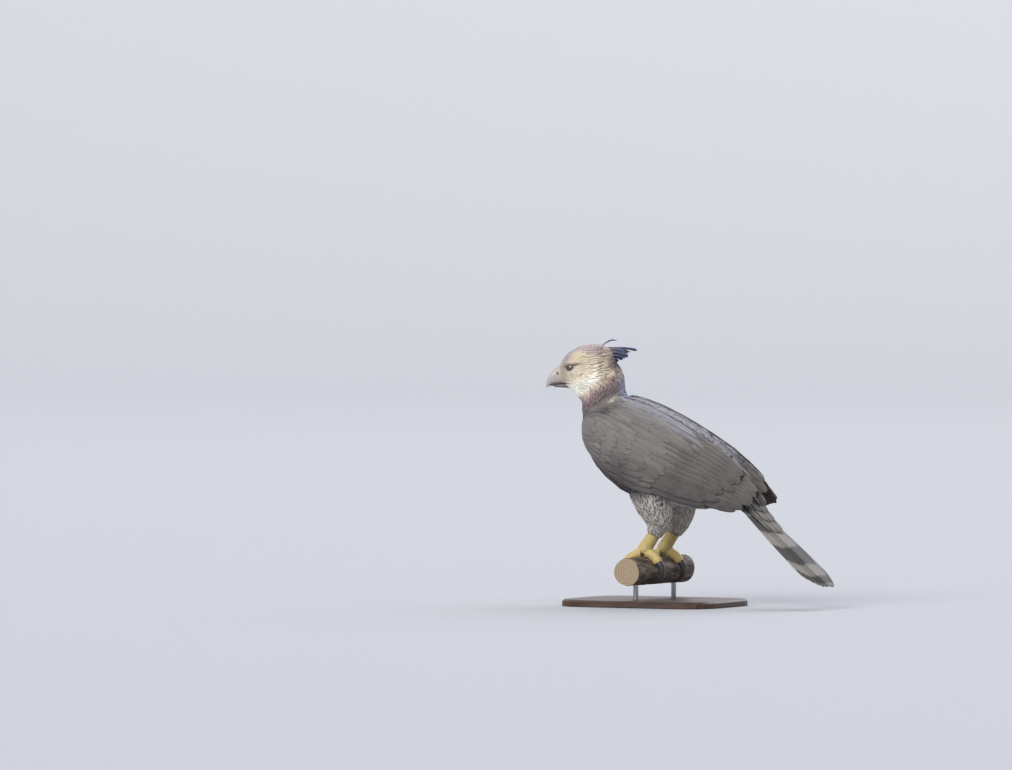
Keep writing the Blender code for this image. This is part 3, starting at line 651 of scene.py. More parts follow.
def plumage(points, regions):
    """The colour of the coat at points of the model, by region of the skin."""
    points = np.asarray(points, float)
    f, r, up = np.moveaxis(in_head(points), -1, 0)
    x, _, z = np.moveaxis(points / MM, -1, 0)
    side = np.abs(r)
    wave = ripple(points, 0.035, 3)
    fine = ripple(points, 0.009, 5)
    edge = np.interp(f, *HOOD.T) + 2.0 * wave + 1.5 * fine
    band = collar_colour(f, up, side, edge)
    head = mix(head_colour(f, up, side, fine), band * 0.9, fade(-4, 5, edge - up))

    # Near the back's upper line: where painted sky light pales the mantle
    back = fade(30, -4, np.interp(x, *BACK_LINE.T) - z) * fade(-120, -70, x)
    collar = z - np.interp(x, *COLLAR.T) + 2 * wave
    here = fade(-58, -44, f)
    rest = painted(
        mix(linear(134, 129, 124), linear(119, 114, 114), fade(-0.8, 0.8, wave)),
        ((140, 134, 128), fade(0.5, 1.2, fine) * 0.4),
        # Pale lilac along the top of the back: painted sky light on the mantle's rim
        ((151, 148, 163), back * 0.85),
        ((112, 109, 106), fade(-60, -170, x) * fade(470, 420, z)),
        # Darker towards the underside, near black low in front: painted shade under the body and folded wing
        ((106, 100, 93), fade(380, 310, z) * fade(-20, 40, x) * 0.8),
        ((84, 73, 75), fade(385, 310, z) * fade(40, -30, x)),
        ((64, 60, 70), fade(312, 272, z) * fade(10, -40, x)),
        # Dark line just under the collar's lower edge: painted shadow under the neck ring
        ((62, 56, 62), spot(collar, 0 * x, (-1, 0), (8, 1)) * 0.9 * here),
    )
    rest = mix(rest, band * 0.72, fade(1, 9, collar) * here)
    belly = mix(rest, linear(200, 194, 186), fade(-10, 60, x) * fade(292, 264, z))
    thigh = painted(
        np.broadcast_to(linear(212, 206, 196), points.shape),
        ((124, 118, 118), fade(0.2, 0.8, np.sin((z + 0.35 * x) * 0.72 + 0.8 * wave)) * 0.45),
        ((112, 106, 108), fade(258, 296, z) * 0.8),
        # Near black at the thigh's upper front: painted shade under the belly
        ((62, 58, 66), fade(248, 270, z) * fade(44, 14, x)),
    )
    colours = rest
    for region, shades in ((TORSO, belly), (THIGH, thigh)):
        colours = np.where((regions == region)[..., None], shades, colours)
    neck = np.isin(regions, (HEAD, NECK))[..., None]
    hood = mix(rest * BODY_TONE, head, fade(464, 476, z + 0.12 * (x + 100)))
    return np.where(neck, hood, colours * BODY_TONE)


# Finishes


class Finish:
    """A new material, with short ways to add, set and link the nodes before its shader."""

    def __init__(self, name):
        self.material = bpy.data.materials.new(name)
        self.material.use_nodes = True
        self.tree = self.material.node_tree

    def feed(self, node, values):
        """Sets or links inputs by name or number, and gives the node's outputs."""
        for key, value in dict(values).items():
            if isinstance(value, bpy.types.NodeSocket):
                self.tree.links.new(value, node.inputs[key])
            else:
                node.inputs[key].default_value = value
        return node.outputs

    def node(self, kind, values=(), **settings):
        made = self.tree.nodes.new("ShaderNode" + kind)
        for key, value in settings.items():
            setattr(made, key, value)
        return self.feed(made, values)

    def maths(self, operation, *values):
        return self.node("Math", enumerate(values), operation=operation)[0]

    def remap(self, value, *limits):
        """A value carried from one range to another: from low, from high, to low, to high."""
        return self.node("MapRange", enumerate((value, *limits)))[0]

    def blend(self, share, under, colour):
        """The colour under, and the one given where the share is 1."""
        return self.node("Mix", {"Factor": share, "A": under, "B": (*colour, 1)}, data_type="RGBA")["Result"]

    def noise(self, scale, detail=2, stretch=None):
        """Noise on the object's own coordinates."""
        place = self.node("TexCoord")["Object"]
        if stretch:
            place = self.node("Mapping", {"Vector": place, "Scale": stretch})[0]
        return self.node("TexNoise", {"Vector": place, "Scale": scale, "Detail": detail})["Fac"]

    def ramp(self, value, stops):
        """A colour ramp of (place, colour) stops."""
        made = self.tree.nodes.new("ShaderNodeValToRGB")
        while len(made.color_ramp.elements) < len(stops):
            made.color_ramp.elements.new(0.5)
        for element, (place, colour) in zip(made.color_ramp.elements, stops):
            element.position = place
            element.color = (*colour, 1)
        return self.feed(made, {"Fac": value})["Color"]

    def bump(self, height, strength, distance):
        return self.node("Bump", {"Height": height, "Strength": strength, "Distance": distance})[0]

    def barbs(self, rows):
        """Slanted barbs from 0 to 1, and how far off the shaft and along the vane a place lies."""
        across, along, _ = self.node("SeparateXYZ", {0: self.node("UVMap", uv_map="Vane")["UV"]})
        far = self.maths("ABSOLUTE", self.maths("SUBTRACT", across, 0.5))
        slant = self.maths("MULTIPLY_ADD", far, -0.55, along)
        wave = self.maths("SINE", self.maths("MULTIPLY", slant, rows * 2 * math.pi))
        return self.remap(wave, -1), far, along

    def done(self, values):
        """The material, with these values or sockets on its shader."""
        self.feed(self.tree.nodes["Principled BSDF"], values)
        return self.material


def feather_finish(name, rows=14, shaft=0.0, edge=0.0, depth=0.25, bars=None):
    """Matt plumage from the piece's own colours, with barbs, paler edges and a shaft where asked.

    bars is (count, darkness, start) for bands across a long feather.
    """
    finish = Finish(name)
    barbs, far, along = finish.barbs(rows)
    noise = finish.noise(260, 4)
    fleck, stripe = finish.remap(noise, 0, 1, 0.80, 1.18), finish.remap(barbs, 0, 1, 0.90, 1.06)
    colour = finish.node("VectorMath", {
        0: finish.node("Attribute", attribute_name="Plumage")["Color"],
        "Scale": finish.maths("MULTIPLY", fleck, stripe)}, operation="SCALE")[0]
    if bars:
        count, darkness, start = bars
        turn = finish.maths("MULTIPLY", finish.maths("MULTIPLY_ADD", noise, 0.05, along), count * 2 * math.pi)
        band = finish.remap(finish.maths("SINE", turn), start - 0.25, start + 0.05, 0, darkness)
        colour = finish.blend(band, colour, linear(44, 43, 47))
    if edge:
        rim, tip = finish.remap(far, 0.36, 0.5, 0, edge), finish.remap(along, 0.86, 1.0, 0, edge)
        colour = finish.blend(finish.maths("MAXIMUM", rim, tip), colour, linear(188, 180, 172))
    if shaft:
        colour = finish.blend(finish.remap(far, 0.045, 0.02, 0, shaft), colour, linear(58, 52, 50))
    return finish.done({
        "Base Color": colour, "Roughness": 0.78, "Specular IOR Level": 0.25, "Sheen Weight": 0.15,
        "Sheen Roughness": 0.6, "Normal": finish.bump(barbs, depth, 0.0006)})


def surface_finish(name, stops, roughness, scale, bump, distance=0.001, metallic=0.0,
                   spread=(0.0, 0.0), stretch=(1, 1, 1), detail=6, marks=None):
    """A finish that mixes its colours by noise on the object's own coordinates.

    marks is (attribute, colour, low, high): the colour where the attribute is low, none where it is high.
    """
    finish = Finish(name)
    pattern = finish.noise(scale, detail, stretch)
    colour = finish.ramp(pattern, stops)
    if marks:
        layer, shade, full, none = marks
        mark = finish.node("Attribute", attribute_name=layer)["Fac"]
        colour = finish.blend(finish.remap(mark, none, full), colour, shade)
    return finish.done({
        "Base Color": colour, "Metallic": metallic, "Normal": finish.bump(pattern, bump, distance),
        "Roughness": finish.remap(pattern, 0, 1, roughness + spread[0], roughness + spread[1])})


def feather_skin_finish():
    finish = Finish("skin_under_coat")
    return finish.done({
        "Base Color": finish.node("Attribute", attribute_name="Plumage")["Color"], "Roughness": 0.9,
        "Normal": finish.bump(finish.noise(500), 1.0, 0.0008)})


def horn_finish(name, colour, tip, start):
    """Satin horn with fine streaks, darker forward of a place along the head's forward way."""
    finish = Finish(name)
    place = finish.node("TexCoord")["Object"]
    forward = finish.node("VectorMath", {0: place, 1: HEAD_FORWARD}, operation="DOT_PRODUCT")["Value"]
    streaks = finish.noise(420, 5, (1, 1, 0.25))
    darker = finish.remap(forward, start, start + 0.024, -0.15, 0.75)
    share = finish.maths("MULTIPLY_ADD", streaks, 0.4, darker)
    return finish.done({
        "Base Color": finish.ramp(share, ((0.0, colour), (1.0, tip))), "Roughness": 0.34,
        "Normal": finish.bump(streaks, 0.12, 0.0003)})


def eye_finish():
    """A glossy eye: pupil, iris and a dark ring by how far a place is from the eye's front."""
    finish = Finish("eye_finish")
    off = finish.node("SeparateXYZ", {0: finish.node("UVMap", uv_map="Gaze")["UV"]})["X"]
    pupil, iris = (0.004, 0.004, 0.005), np.array(chosen().iris)
    rings = finish.ramp(off, (
        (0.0, pupil), (0.112, pupil), (0.122, iris * 0.6), (0.19, iris), (0.225, iris * 0.25),
        (0.26, linear(120, 108, 100))))
    return finish.done({"Base Color": rings, "Roughness": 0.12, "Coat Weight": 1.0, "Coat Roughness": 0.03})


def sawn_finish():
    """Pale sawn wood with growth rings round the branch's middle."""
    finish = Finish("sawn_wood")
    place = finish.node("Mapping", {
        "Vector": finish.node("TexCoord")["Object"], "Location": (0, 0, -PERCH_CENTRE)})[0]
    rings = finish.node("TexWave", {
        "Vector": place, "Scale": 70, "Distortion": 4.0, "Detail": 4, "Detail Scale": 1.6,
    }, wave_type="RINGS", rings_direction="Y")["Fac"]
    wood = (0.0, linear(110, 91, 71)), (0.35, linear(143, 125, 101)), (1.0, linear(160, 145, 121))
    return finish.done({"Base Color": finish.ramp(rings, wood), "Roughness": 0.8})


# Skin

NECK_RIBS = (
    (-64, 468, -182, 418, 60),
    (-78, 498, -187, 448, 60),
    (-88, 524, -189, 478, 57),
    (-95, 546, -184, 505, 52),
    (-99, 570, -174, 535, 44),
)
NECK_ENDS = ((-124, 440), (-136, 556))
CHIN_RIBS = (
    (42, 524, 39, 472, 34),
    (57, 522, 55, 485, 29),
    (68, 521, 66.5, 499.5, 24),
    (77, 521, 76, 509, 19),
    (84, 521, 83, 513, 14.5),
)
CHIN_ENDS = ((26, 500), (89, 517))
SKIN_VOXEL = 0.0034
FOOT_VOXEL = 0.0011
# How far the coat's edge lies from an eye's axis, and the bare skin sinks inside it
COAT_FROM_EYE = 0.0088
SUNK_BY_EYE = 0.0078
# How far a folded wing's body reaches along it, and lies under its feathers
WING_CORE_REACH = 0.86
WING_CORE_SINK = 0.005
# How deep the coat is over each region, in millimetres
COAT_DEPTH = {HEAD: 1.8, NECK: 5.0, TORSO: 4.5, THIGH: 6.0, WING: 0.5, TAIL: 2.0}


def wing_core(side):
    """The body of one folded wing, a little under its feathers."""
    back = wing_point(0.90, 0.5, -0.006, side)
    front = wing_point(-0.02, 0.5, -0.006, side)

    def put(share, angle, pole):
        if pole:
            return back if pole > 0 else front
        place = share * WING_CORE_REACH
        turn = angle % (2 * math.pi)
        if turn <= math.pi:
            return wing_point(place, turn / math.pi, -WING_CORE_SINK, side)
        down = (2 * math.pi - turn) / math.pi
        thickness = follow(WING_STATIONS, place)[7] * MM * math.sqrt(max(0, 4 * down * (1 - down)))
        return wing_point(place, down, -WING_CORE_SINK - thickness, side)

    return shaped_ball("wing_core", 32, 34, put)


def tail_core():
    def put(share, angle, pole):
        if pole:
            return tail_place(0.16 if pole > 0 else -0.03, 0, -0.003)
        thick = 0.020 * (1 - share) ** 0.8 + 0.0015
        half = 0.032 + 0.008 * share
        return tail_place(0.15 * share, half * math.cos(angle), thick * math.sin(angle) - 0.005 * share)

    return shaped_ball("tail_core", 24, 16, put)


def spread_over(mesh, values, rounds):
    """Values of the vertices, averaged with their neighbours' for some rounds."""
    first, second = read(mesh.edges, "vertices", 2, np.int32).T
    values = np.array(values, float)
    flat = values.reshape(len(values), -1)
    count = np.bincount(first, minlength=len(flat)) + np.bincount(second, minlength=len(flat)) + 1.0
    for _ in range(rounds):
        total = flat.copy()
        for column in range(flat.shape[1]):
            total[:, column] += np.bincount(first, flat[second, column], len(flat))
            total[:, column] += np.bincount(second, flat[first, column], len(flat))
        flat = total / count[:, None]
    return flat.reshape(values.shape)


def eye_offsets(points, side):
    """How far points lie off one eye's axis, as the lids' oval sees it, and along it from its centre."""
    _, along, up, out = eye_frame(side)
    away = points - eye_centre(side)
    return np.hypot(away @ along, away @ up * EYE_OVAL), away @ out


def wanted_lie(points, regions):
    """Which way the coat lies at points of the skin, before it is laid on the surface."""
    f, _, up = np.moveaxis(in_head(points), -1, 0)
    bill = head_place(np.array([0.112, 0, 0.548]))
    head = unit(points - bill)
    down = np.broadcast_to([0.12, 0, -1.0], points.shape)
    drop = np.maximum(fade(528, 484, up) * 0.75, fade(-8, -34, f))
    head = unit(head * (1 - drop[:, None]) + unit(down) * drop[:, None])
    neck = unit(down)
    torso = unit(points - np.array([-0.150, 0, 0.540]))
    thigh = unit(np.broadcast_to([0.22, 0, -1.0], points.shape))
    wing = unit(np.broadcast_to([0.80, 0, -0.52], points.shape))
    tail = np.broadcast_to(tail_place(1, 0, 0) - TAIL_ROOT, points.shape)
    lie = np.zeros_like(points)
    for region, ways in enumerate((head, neck, torso, thigh, wing, tail)):
        lie = np.where((regions == region)[:, None], ways, lie)
    return lie


def refine(obj, centres, reach):
    """Splits the faces near the centres, for finer forms there."""
    middles = read(obj.data.polygons, "center", 3)
    gaps = [np.linalg.norm(middles - centre, axis=1) for centre in centres]
    activate(obj)
    bpy.ops.object.mode_set(mode="EDIT")
    bpy.ops.mesh.select_mode(type="FACE")
    bpy.ops.mesh.select_all(action="DESELECT")
    bpy.ops.object.mode_set(mode="OBJECT")
    obj.data.polygons.foreach_set("select", np.min(gaps, axis=0) < reach)
    bpy.ops.object.mode_set(mode="EDIT")
    bpy.ops.mesh.subdivide(number_cuts=1, smoothness=0)
    bpy.ops.object.mode_set(mode="OBJECT")


def cuff(side):
    """The lower end of a thigh's feathers, round the top of the bare leg."""
    path = [(x * MM, FOOT_OFFSET * side, z * MM) for x, z in ((40, 214), (37, 197), (29, 181), (22, 168))]
    return shaped_tube("cuff", path, (0.034, 0.032, 0.027, 0.021), 28, 16, (0, 1, 0))


def make_skin():
    """One skin over head, neck, trunk, thighs, wings and tail root, under the coat's depth."""
    forms = [
        (HEAD, ribbed_ball("head_form", HEAD_RIBS, HEAD_ENDS, 64, 48, head_place, HEAD_SQUARENESS)),
        (HEAD, ribbed_ball("chin_form", CHIN_RIBS, CHIN_ENDS, 40, 16, head_place)),
        (NECK, ribbed_ball("neck_form", NECK_RIBS, NECK_ENDS, 48, 20)),
        (TORSO, copied_node("torso")),
        (THIGH, copied_node("thigh_left")),
        (THIGH, copied_node("thigh_right")),
        (THIGH, cuff(-1)),
        (THIGH, cuff(1)),
        (WING, wing_core(-1)),
        (WING, wing_core(1)),
        (TAIL, tail_core()),
    ]
    trees = [(region, tree_of(form)) for region, form in forms]
    skin = joined([form for _, form in forms])
    skin.data.materials.clear()
    remeshed(skin, SKIN_VOXEL, 6)
    refine(skin, [eye_centre(side) for side in SIDES], 0.026)
    points = points_of(skin)
    regions = np.empty(len(points), int)
    for i, point in enumerate(points):
        nearest = min((tree.find_nearest(point)[3], region) for region, tree in trees)
        regions[i] = nearest[1]
    depth = spread_over(skin.data, np.vectorize(COAT_DEPTH.get)(regions).astype(float), 5)
    f, r, up = np.moveaxis(in_head(points), -1, 0)
    depth = np.where(regions == HEAD, depth * (1 - 0.6 * fade(60, 92, f)), depth)
    depth = depth - 8.0 * spot(f, up, (-46, 538), (14, 26)) * fade(40, 15, np.abs(r))
    normals = normals_of(skin)
    brow = np.zeros(len(points))
    steps = np.linspace(0, 4, 17)
    shares, heights = (np.interp(steps, range(5), row) for row in np.array(BROW).T)
    for side in SIDES:
        ridge = np.array([head_skin(share, height, side) for share, height in zip(shares, heights)])
        gaps = np.linalg.norm(points[:, None] - ridge[None], axis=-1) / MM
        nearest = np.argmin(gaps, axis=1)
        reach = np.where(points[:, 2] < ridge[nearest, 2], 2.4, 7.0)
        size = 5.0 * np.sin(math.pi * (nearest + 2) / 20)
        brow = np.maximum(brow, size * np.exp(-((gaps.min(axis=1) / reach) ** 2)))
    points = points + normals * ((brow - depth) * MM)[:, None]
    for side in SIDES:
        _, _, _, out = eye_frame(side)
        across, height = eye_offsets(points, side)
        ball = np.sqrt(np.maximum(EYE_RADIUS**2 - across**2, 0)) - 0.0012
        sink = np.where((height > 0) & (across < SUNK_BY_EYE), np.maximum(height - ball, 0), 0)
        points = points - sink[:, None] * out
    set_points(skin, points)
    lie = spread_over(skin.data, wanted_lie(points, regions), 14)
    keep(skin.data, "Region", "INT", regions)
    keep(skin.data, "Lie", "FLOAT_VECTOR", lie)
    keep(skin.data, "Plumage", "FLOAT_COLOR", plumage(points, regions) * 0.92)
    with all_in_edit_mode(skin):
        bpy.ops.uv.smart_project(angle_limit=math.radians(70), island_margin=0.004)
    skin.data.uv_layers[0].name = "OFBake"
    return skin


class Skin:
    """The skin's surface as arrays, for laying feathers on it."""

    def __init__(self, obj):
        mesh = obj.data
        mesh.calc_loop_triangles()
        self.corners = read(mesh.loop_triangles, "vertices", 3, np.int32)
        self.points, self.normals = points_of(obj), normals_of(obj)
        self.lie = read(mesh.attributes["Lie"].data, "vector", 3)
        self.regions = read(mesh.attributes["Region"].data, "value", 1, np.int32)
        uvs = read(mesh.uv_layers["OFBake"].data, "uv", 2)
        self.uvs = uvs[read(mesh.loop_triangles, "loops", 3, np.int32)]
        a, b, c = (self.points[self.corners[:, i]] for i in range(3))
        self.areas = np.linalg.norm(np.cross(b - a, c - a), axis=-1) / 2
        self.tree = tree_of(obj)

    def scatter(self, wanted, spacing, seed):
        """Roots about evenly spaced on the triangles that are wanted."""
        rng = np.random.default_rng(seed)
        areas = np.where(wanted, self.areas, 0)
        count = int(areas.sum() / spacing**2 * 6)
        picks = np.searchsorted(np.cumsum(areas), rng.uniform(0, areas.sum(), count))
        picks = np.minimum(picks, len(areas) - 1)
        share = rng.dirichlet((1, 1, 1), count)
        corners = self.corners[picks]
        points = np.einsum("nk,nkd->nd", share, self.points[corners])
        cells = {}
        kept = []
        for i, (point, cell) in enumerate(zip(points, np.floor(points / spacing).astype(int))):
            x, y, z = cell.tolist()
            near = [
                k
                for u in (x - 1, x, x + 1)
                for v in (y - 1, y, y + 1)
                for w in (z - 1, z, z + 1)
                for k in cells.get((u, v, w), ())
            ]
            if near and np.min(np.sum((points[near] - point) ** 2, axis=1)) < spacing**2:
                continue
            cells.setdefault((x, y, z), []).append(i)
            kept.append(i)
        share, corners, picks = share[kept], corners[kept], picks[kept]
        normals = unit(np.einsum("nk,nkd->nd", share, self.normals[corners]))
        lie = np.einsum("nk,nkd->nd", share, self.lie[corners])
        lie = unit(lie - normals * np.sum(lie * normals, axis=1, keepdims=True))
        uvs = np.einsum("nk,nkd->nd", share, self.uvs[picks])
        return points[kept], normals, lie, uvs, self.regions[corners[:, 0]]

    def lay(self, points, lie, lengths, shares, heights):
        """Lines that follow the skin from points along lie, at heights over it, all (N, S)."""
        lines = np.empty((len(points), len(shares), 3))
        overs = np.empty_like(lines)
        for n, (point, way, length) in enumerate(zip(points, lie, lengths)):
            place, passed = point, 0.0
            for s, share in enumerate(shares):
                step = (share - passed) * length
                passed = share
                near, normal, _, _ = self.tree.find_nearest(Vector(place + way * step))
                place, normal = np.array(near), np.array(normal)
                way = way - normal * np.dot(way, normal)
                way = way / max(np.linalg.norm(way), 1e-9)
                lines[n, s] = place + normal * heights[n, s]
                overs[n, s] = normal
        return lines, overs


# Coat

TUFT_SHARES = np.array([0.0, 0.35, 0.72, 1.0])
TUFT_WIDTHS = np.array([0.55, 1.0, 0.86])
# Region, spacing, length, half width, lift, curl and how much the brightness varies
COATS = {
    "face": (0.0014, 0.0074, 0.0010, 0.10, 0.05, 0.035),
    "hood": (0.0017, 0.0145, 0.0018, 0.09, 0.05, 0.035),
    "neck": (0.0031, 0.0220, 0.0036, 0.15, 0.08, 0.045),
    "trunk": (0.0054, 0.0330, 0.0062, 0.19, 0.10, 0.045),
    "thighs": (0.0032, 0.0300, 0.0040, 0.14, 0.07, 0.025),
    "wing_edge": (0.0066, 0.0200, 0.0060, 0.20, 0.11, 0.045),
}


def clear_of(points, trees, gap):
    """Which points lie outside these closed forms, by at least the gap."""
    free = np.ones(len(points), bool)
    for i, point in enumerate(points):
        for tree in trees:
            near, normal, _, distance = tree.find_nearest(Vector(point))
            if distance < gap or np.dot(point - np.array(near), normal) < 0:
                free[i] = False
                break
    return free


def coat_wanted(skin, kind):
    """The triangles of the skin that carry one kind of coat."""
    f = in_head(skin.points[skin.corners].mean(axis=1))[:, 0]
    region = skin.regions[skin.corners[:, 0]]
    if kind in ("face", "hood"):
        return (region == HEAD) & (f > 62 if kind == "face" else f <= 64)
    return np.isin(region, {"neck": (NECK,), "trunk": (TORSO, TAIL), "thighs": (THIGH,)}.get(kind, (WING,)))


def make_coat(kind, seed, blockers=()):
    """The small feathers of one part of the body."""
    skin = Skin(bpy.data.objects["skin"])
    spacing, length, half, lift, curl, vary = COATS[kind]
    points, normals, lie, uvs, regions = skin.scatter(coat_wanted(skin, kind), spacing, seed)
    rng = np.random.default_rng(seed + 1)
    lengths = length * rng.uniform(0.8, 1.2, len(points))
    free = clear_of(points, blockers, 0.0004)
    if kind in ("face", "hood"):
        for side in SIDES:
            across, height = eye_offsets(points, side)
            beside = height > 0
            free &= ~((across < COAT_FROM_EYE) & beside)
            shorter = lengths * np.clip((across - 0.0075) / 0.010, 0.35, 1)
            lengths = np.where(beside & (across < 0.024), shorter, lengths)
    points, normals, lie, uvs, regions, lengths = (
        values[free] for values in (points, normals, lie, uvs, regions, lengths)
    )
    swing = rng.normal(0, 0.10, len(points))[:, None]
    lie = unit(lie + np.cross(normals, lie) * swing)
    rise = lift * TUFT_SHARES - curl * TUFT_SHARES**2
    heights = lengths[:, None] * rise[None] * rng.uniform(0.8, 1.25, len(points))[:, None] - 0.0003
    lines, overs = skin.lay(points, lie, lengths, TUFT_SHARES, heights)
    widths = half * TUFT_WIDTHS[None] * rng.uniform(0.85, 1.15, (len(points), 3))
    along = plumage(lines, np.broadcast_to(regions[:, None], lines.shape[:2]))
    shade = (0.65 * along + 0.35 * along[:, :1]) * (1 + vary * rng.normal(size=len(points)))[:, None, None]
    # Darker to the roots: painted shade under the overlapping tufts; slightly paler to the tips
    shade = np.clip(shade * np.array([0.92, 0.98, 1.02, 1.03])[None, :, None], 0.004, 0.92)
    vanes = Vanes()
    roll = rng.normal(0, 0.07, len(points))
    vanes.add(lines, overs, widths, shade, uvs, camber=0.15, thick=0.0002, roll=roll)
    return vanes.make("coat_" + kind)


# Wings

# Tiers, lowest first: count, roots' line and tips' line as (along, down) pairs,
# then half width and lift at the tip in millimetres, each for the first and the last feather
FLIGHT_TIERS = (
    (8, (0.56, 0.40), (0.62, 0.88), (1.02, 0.34), (0.93, 0.95), 12, 10, 3.0, 1.5),
    (13, (0.42, 0.07), (0.50, 0.92), (0.93, 0.12), (0.78, 0.97), 15, 13, 9.5, 4.5),
)
COVERT_TIERS = (
    (13, (0.34, 0.26), (0.30, 0.94), (0.69, 0.22), (0.55, 0.97), 13, 12, 6.2, 4.6),
    (13, (0.26, 0.26), (0.24, 0.93), (0.58, 0.24), (0.48, 0.96), 12.5, 11, 6.8, 5.4),
    (13, (0.18, 0.24), (0.19, 0.92), (0.47, 0.22), (0.41, 0.95), 12, 10.5, 7.3, 6.0),
    (13, (0.12, 0.22), (0.15, 0.90), (0.375, 0.20), (0.35, 0.94), 11, 10, 7.6, 6.4),
    (13, (0.07, 0.20), (0.11, 0.88), (0.29, 0.20), (0.29, 0.93), 10.5, 9.5, 7.7, 6.7),
    (12, (0.03, 0.20), (0.07, 0.86), (0.20, 0.20), (0.235, 0.92), 10, 9, 7.6, 6.6),
    (12, (0.00, 0.20), (0.04, 0.84), (0.155, 0.20), (0.18, 0.90), 9.5, 8.5, 7.4, 6.4),
    (11, (-0.02, 0.22), (0.01, 0.80), (0.11, 0.20), (0.13, 0.88), 9, 8, 7.0, 6.0),
    (10, (-0.03, 0.22), (-0.01, 0.78), (0.07, 0.20), (0.085, 0.84), 8.5, 7.5, 6.4, 5.6),
    (9, (-0.05, 0.25), (-0.04, 0.76), (0.03, 0.22), (0.04, 0.80), 8, 7, 5.4, 4.8),
)
SCAPULAR_TIERS = (
    (6, (0.38, 0.06), (0.42, 0.28), (0.68, 0.08), (0.69, 0.30), 13, 13, 9.0, 8.2),
    (6, (0.30, 0.06), (0.34, 0.29), (0.59, 0.07), (0.60, 0.30), 13, 13, 9.6, 8.6),
    (6, (0.23, 0.06), (0.27, 0.29), (0.505, 0.07), (0.515, 0.30), 13, 12, 9.8, 8.8),
    (6, (0.17, 0.06), (0.21, 0.29), (0.425, 0.07), (0.435, 0.30), 12, 12, 9.9, 8.8),
    (6, (0.12, 0.06), (0.15, 0.29), (0.35, 0.07), (0.36, 0.30), 12, 11, 9.8, 8.6),
    (6, (0.08, 0.06), (0.10, 0.29), (0.28, 0.07), (0.29, 0.30), 11, 11, 9.6, 8.4),
    (6, (0.04, 0.07), (0.06, 0.29), (0.215, 0.08), (0.225, 0.30), 11, 10, 9.2, 8.0),
    (6, (0.01, 0.08), (0.03, 0.29), (0.155, 0.08), (0.165, 0.30), 10, 10, 8.6, 7.4),
    (6, (-0.02, 0.06), (0.00, 0.27), (0.10, 0.05), (0.11, 0.28), 10, 9, 7.8, 6.8),
    (6, (-0.05, 0.08), (-0.03, 0.27), (0.05, 0.06), (0.055, 0.28), 9, 8, 6.6, 5.8),
)
LONG_WIDTHS = (
    (0.0, 0.45), (0.10, 0.72), (0.25, 0.92), (0.45, 1.0), (0.65, 1.0), (0.82, 0.92), (0.93, 0.68),
    (0.98, 0.38),
)
SHORT_WIDTHS = ((0.0, 0.45), (0.2, 0.85), (0.45, 1.0), (0.7, 0.98), (0.88, 0.76), (0.97, 0.40))
# How far a wing feather's root lies under the surface, in millimetres
ROOT_SINK = 3.0
MANTLE_HALF_WIDTH = 0.0108
# From row to row and from feather to feather of the mantle, in millimetres
MANTLE_ROWS = 13.0
MANTLE_PITCH = 11.5


def wing_vanes(vanes, side, tiers, stations, colour_of, rng, camber, roll, patch=(TUFT_PATCH, TUFT_PATCH)):
    """Adds tiers of feathers over one folded wing, each row laid over the one below it."""
    shares, widths = profile(stations)
    for count, root_a, root_b, tip_a, tip_b, half_a, half_b, lift_a, lift_b in tiers:
        feathers = []
        for i in range(count):
            k = i / (count - 1)
            root = np.array(root_a) * (1 - k) + np.array(root_b) * k
            tip = np.array(tip_a) * (1 - k) + np.array(tip_b) * k
            tip = tip + [0.028 * math.sin(math.pi * k) + rng.normal(0, 0.012), rng.normal(0, 0.006)]
            lift = lift_a + (lift_b - lift_a) * k
            clear = 1 + 0.25 * lift
            line, over = [], []
            for t in shares:
                height = -ROOT_SINK + (ROOT_SINK + clear) * min(1, t / 0.2) + (lift - clear) * t
                share, down = root + (tip - root) * t
                point = wing_point(share, down, height * MM, side)
                ahead = wing_point(share + 0.01, down, height * MM, side) - point
                below = wing_point(share, down + 0.02, height * MM, side) - point
                normal = unit(np.cross(ahead, below))
                if normal[1] * side < 0:
                    normal = -normal
                line.append(point)
                lean = 1.3 * fade(0.20, 0.02, down)
                over.append(unit(normal + 0.6 * unit(np.array([0, side, 0.25])) + lean * UP))
            half = (half_a + (half_b - half_a) * k) * MM * rng.uniform(0.94, 1.06)
            half = half * widths * rng.uniform(0.95, 1.04, len(widths))
            bake = (0.05 + 0.85 * (root[0] + 0.1) / 1.1, 0.05 + 0.9 * root[1])
            feathers.append((line, over, half, colour_of(np.array(line), k, rng), bake))
        vanes.add_wide(feathers, camber=camber, thick=0.0006, patch=patch,
                       roll=roll * side * (1 + rng.normal(0, 0.15, count)))


def covert_colour(line, _, rng):
    return toned(plumage(line, np.full(len(line), WING)), 0.06, rng, 0.86, 1.06)


def flight_colour(line, k, rng):
    base = mix(linear(108, 102, 98), linear(96, 90, 88), np.full(len(line), k)) * BODY_TONE
    return toned(base, 0.05, rng, 1.06, 0.92)


def make_wing(side):
    """The flight feathers and the coverts of one wing as two pieces."""
    rng = np.random.default_rng(40 + side)
    flight, coverts = Vanes(), Vanes()
    wing_vanes(flight, side, FLIGHT_TIERS, LONG_WIDTHS, flight_colour, rng, 0.10, 0.10, (0.02, 0.05))
    wing_vanes(coverts, side, COVERT_TIERS, SHORT_WIDTHS, covert_colour, rng, 0.09, 0.11)
    wing_vanes(coverts, side, SCAPULAR_TIERS, SHORT_WIDTHS, covert_colour, rng, 0.09, 0.06)
    word = "left" if side < 0 else "right"
    return flight.make("flight_" + word), coverts.make("coverts_" + word)


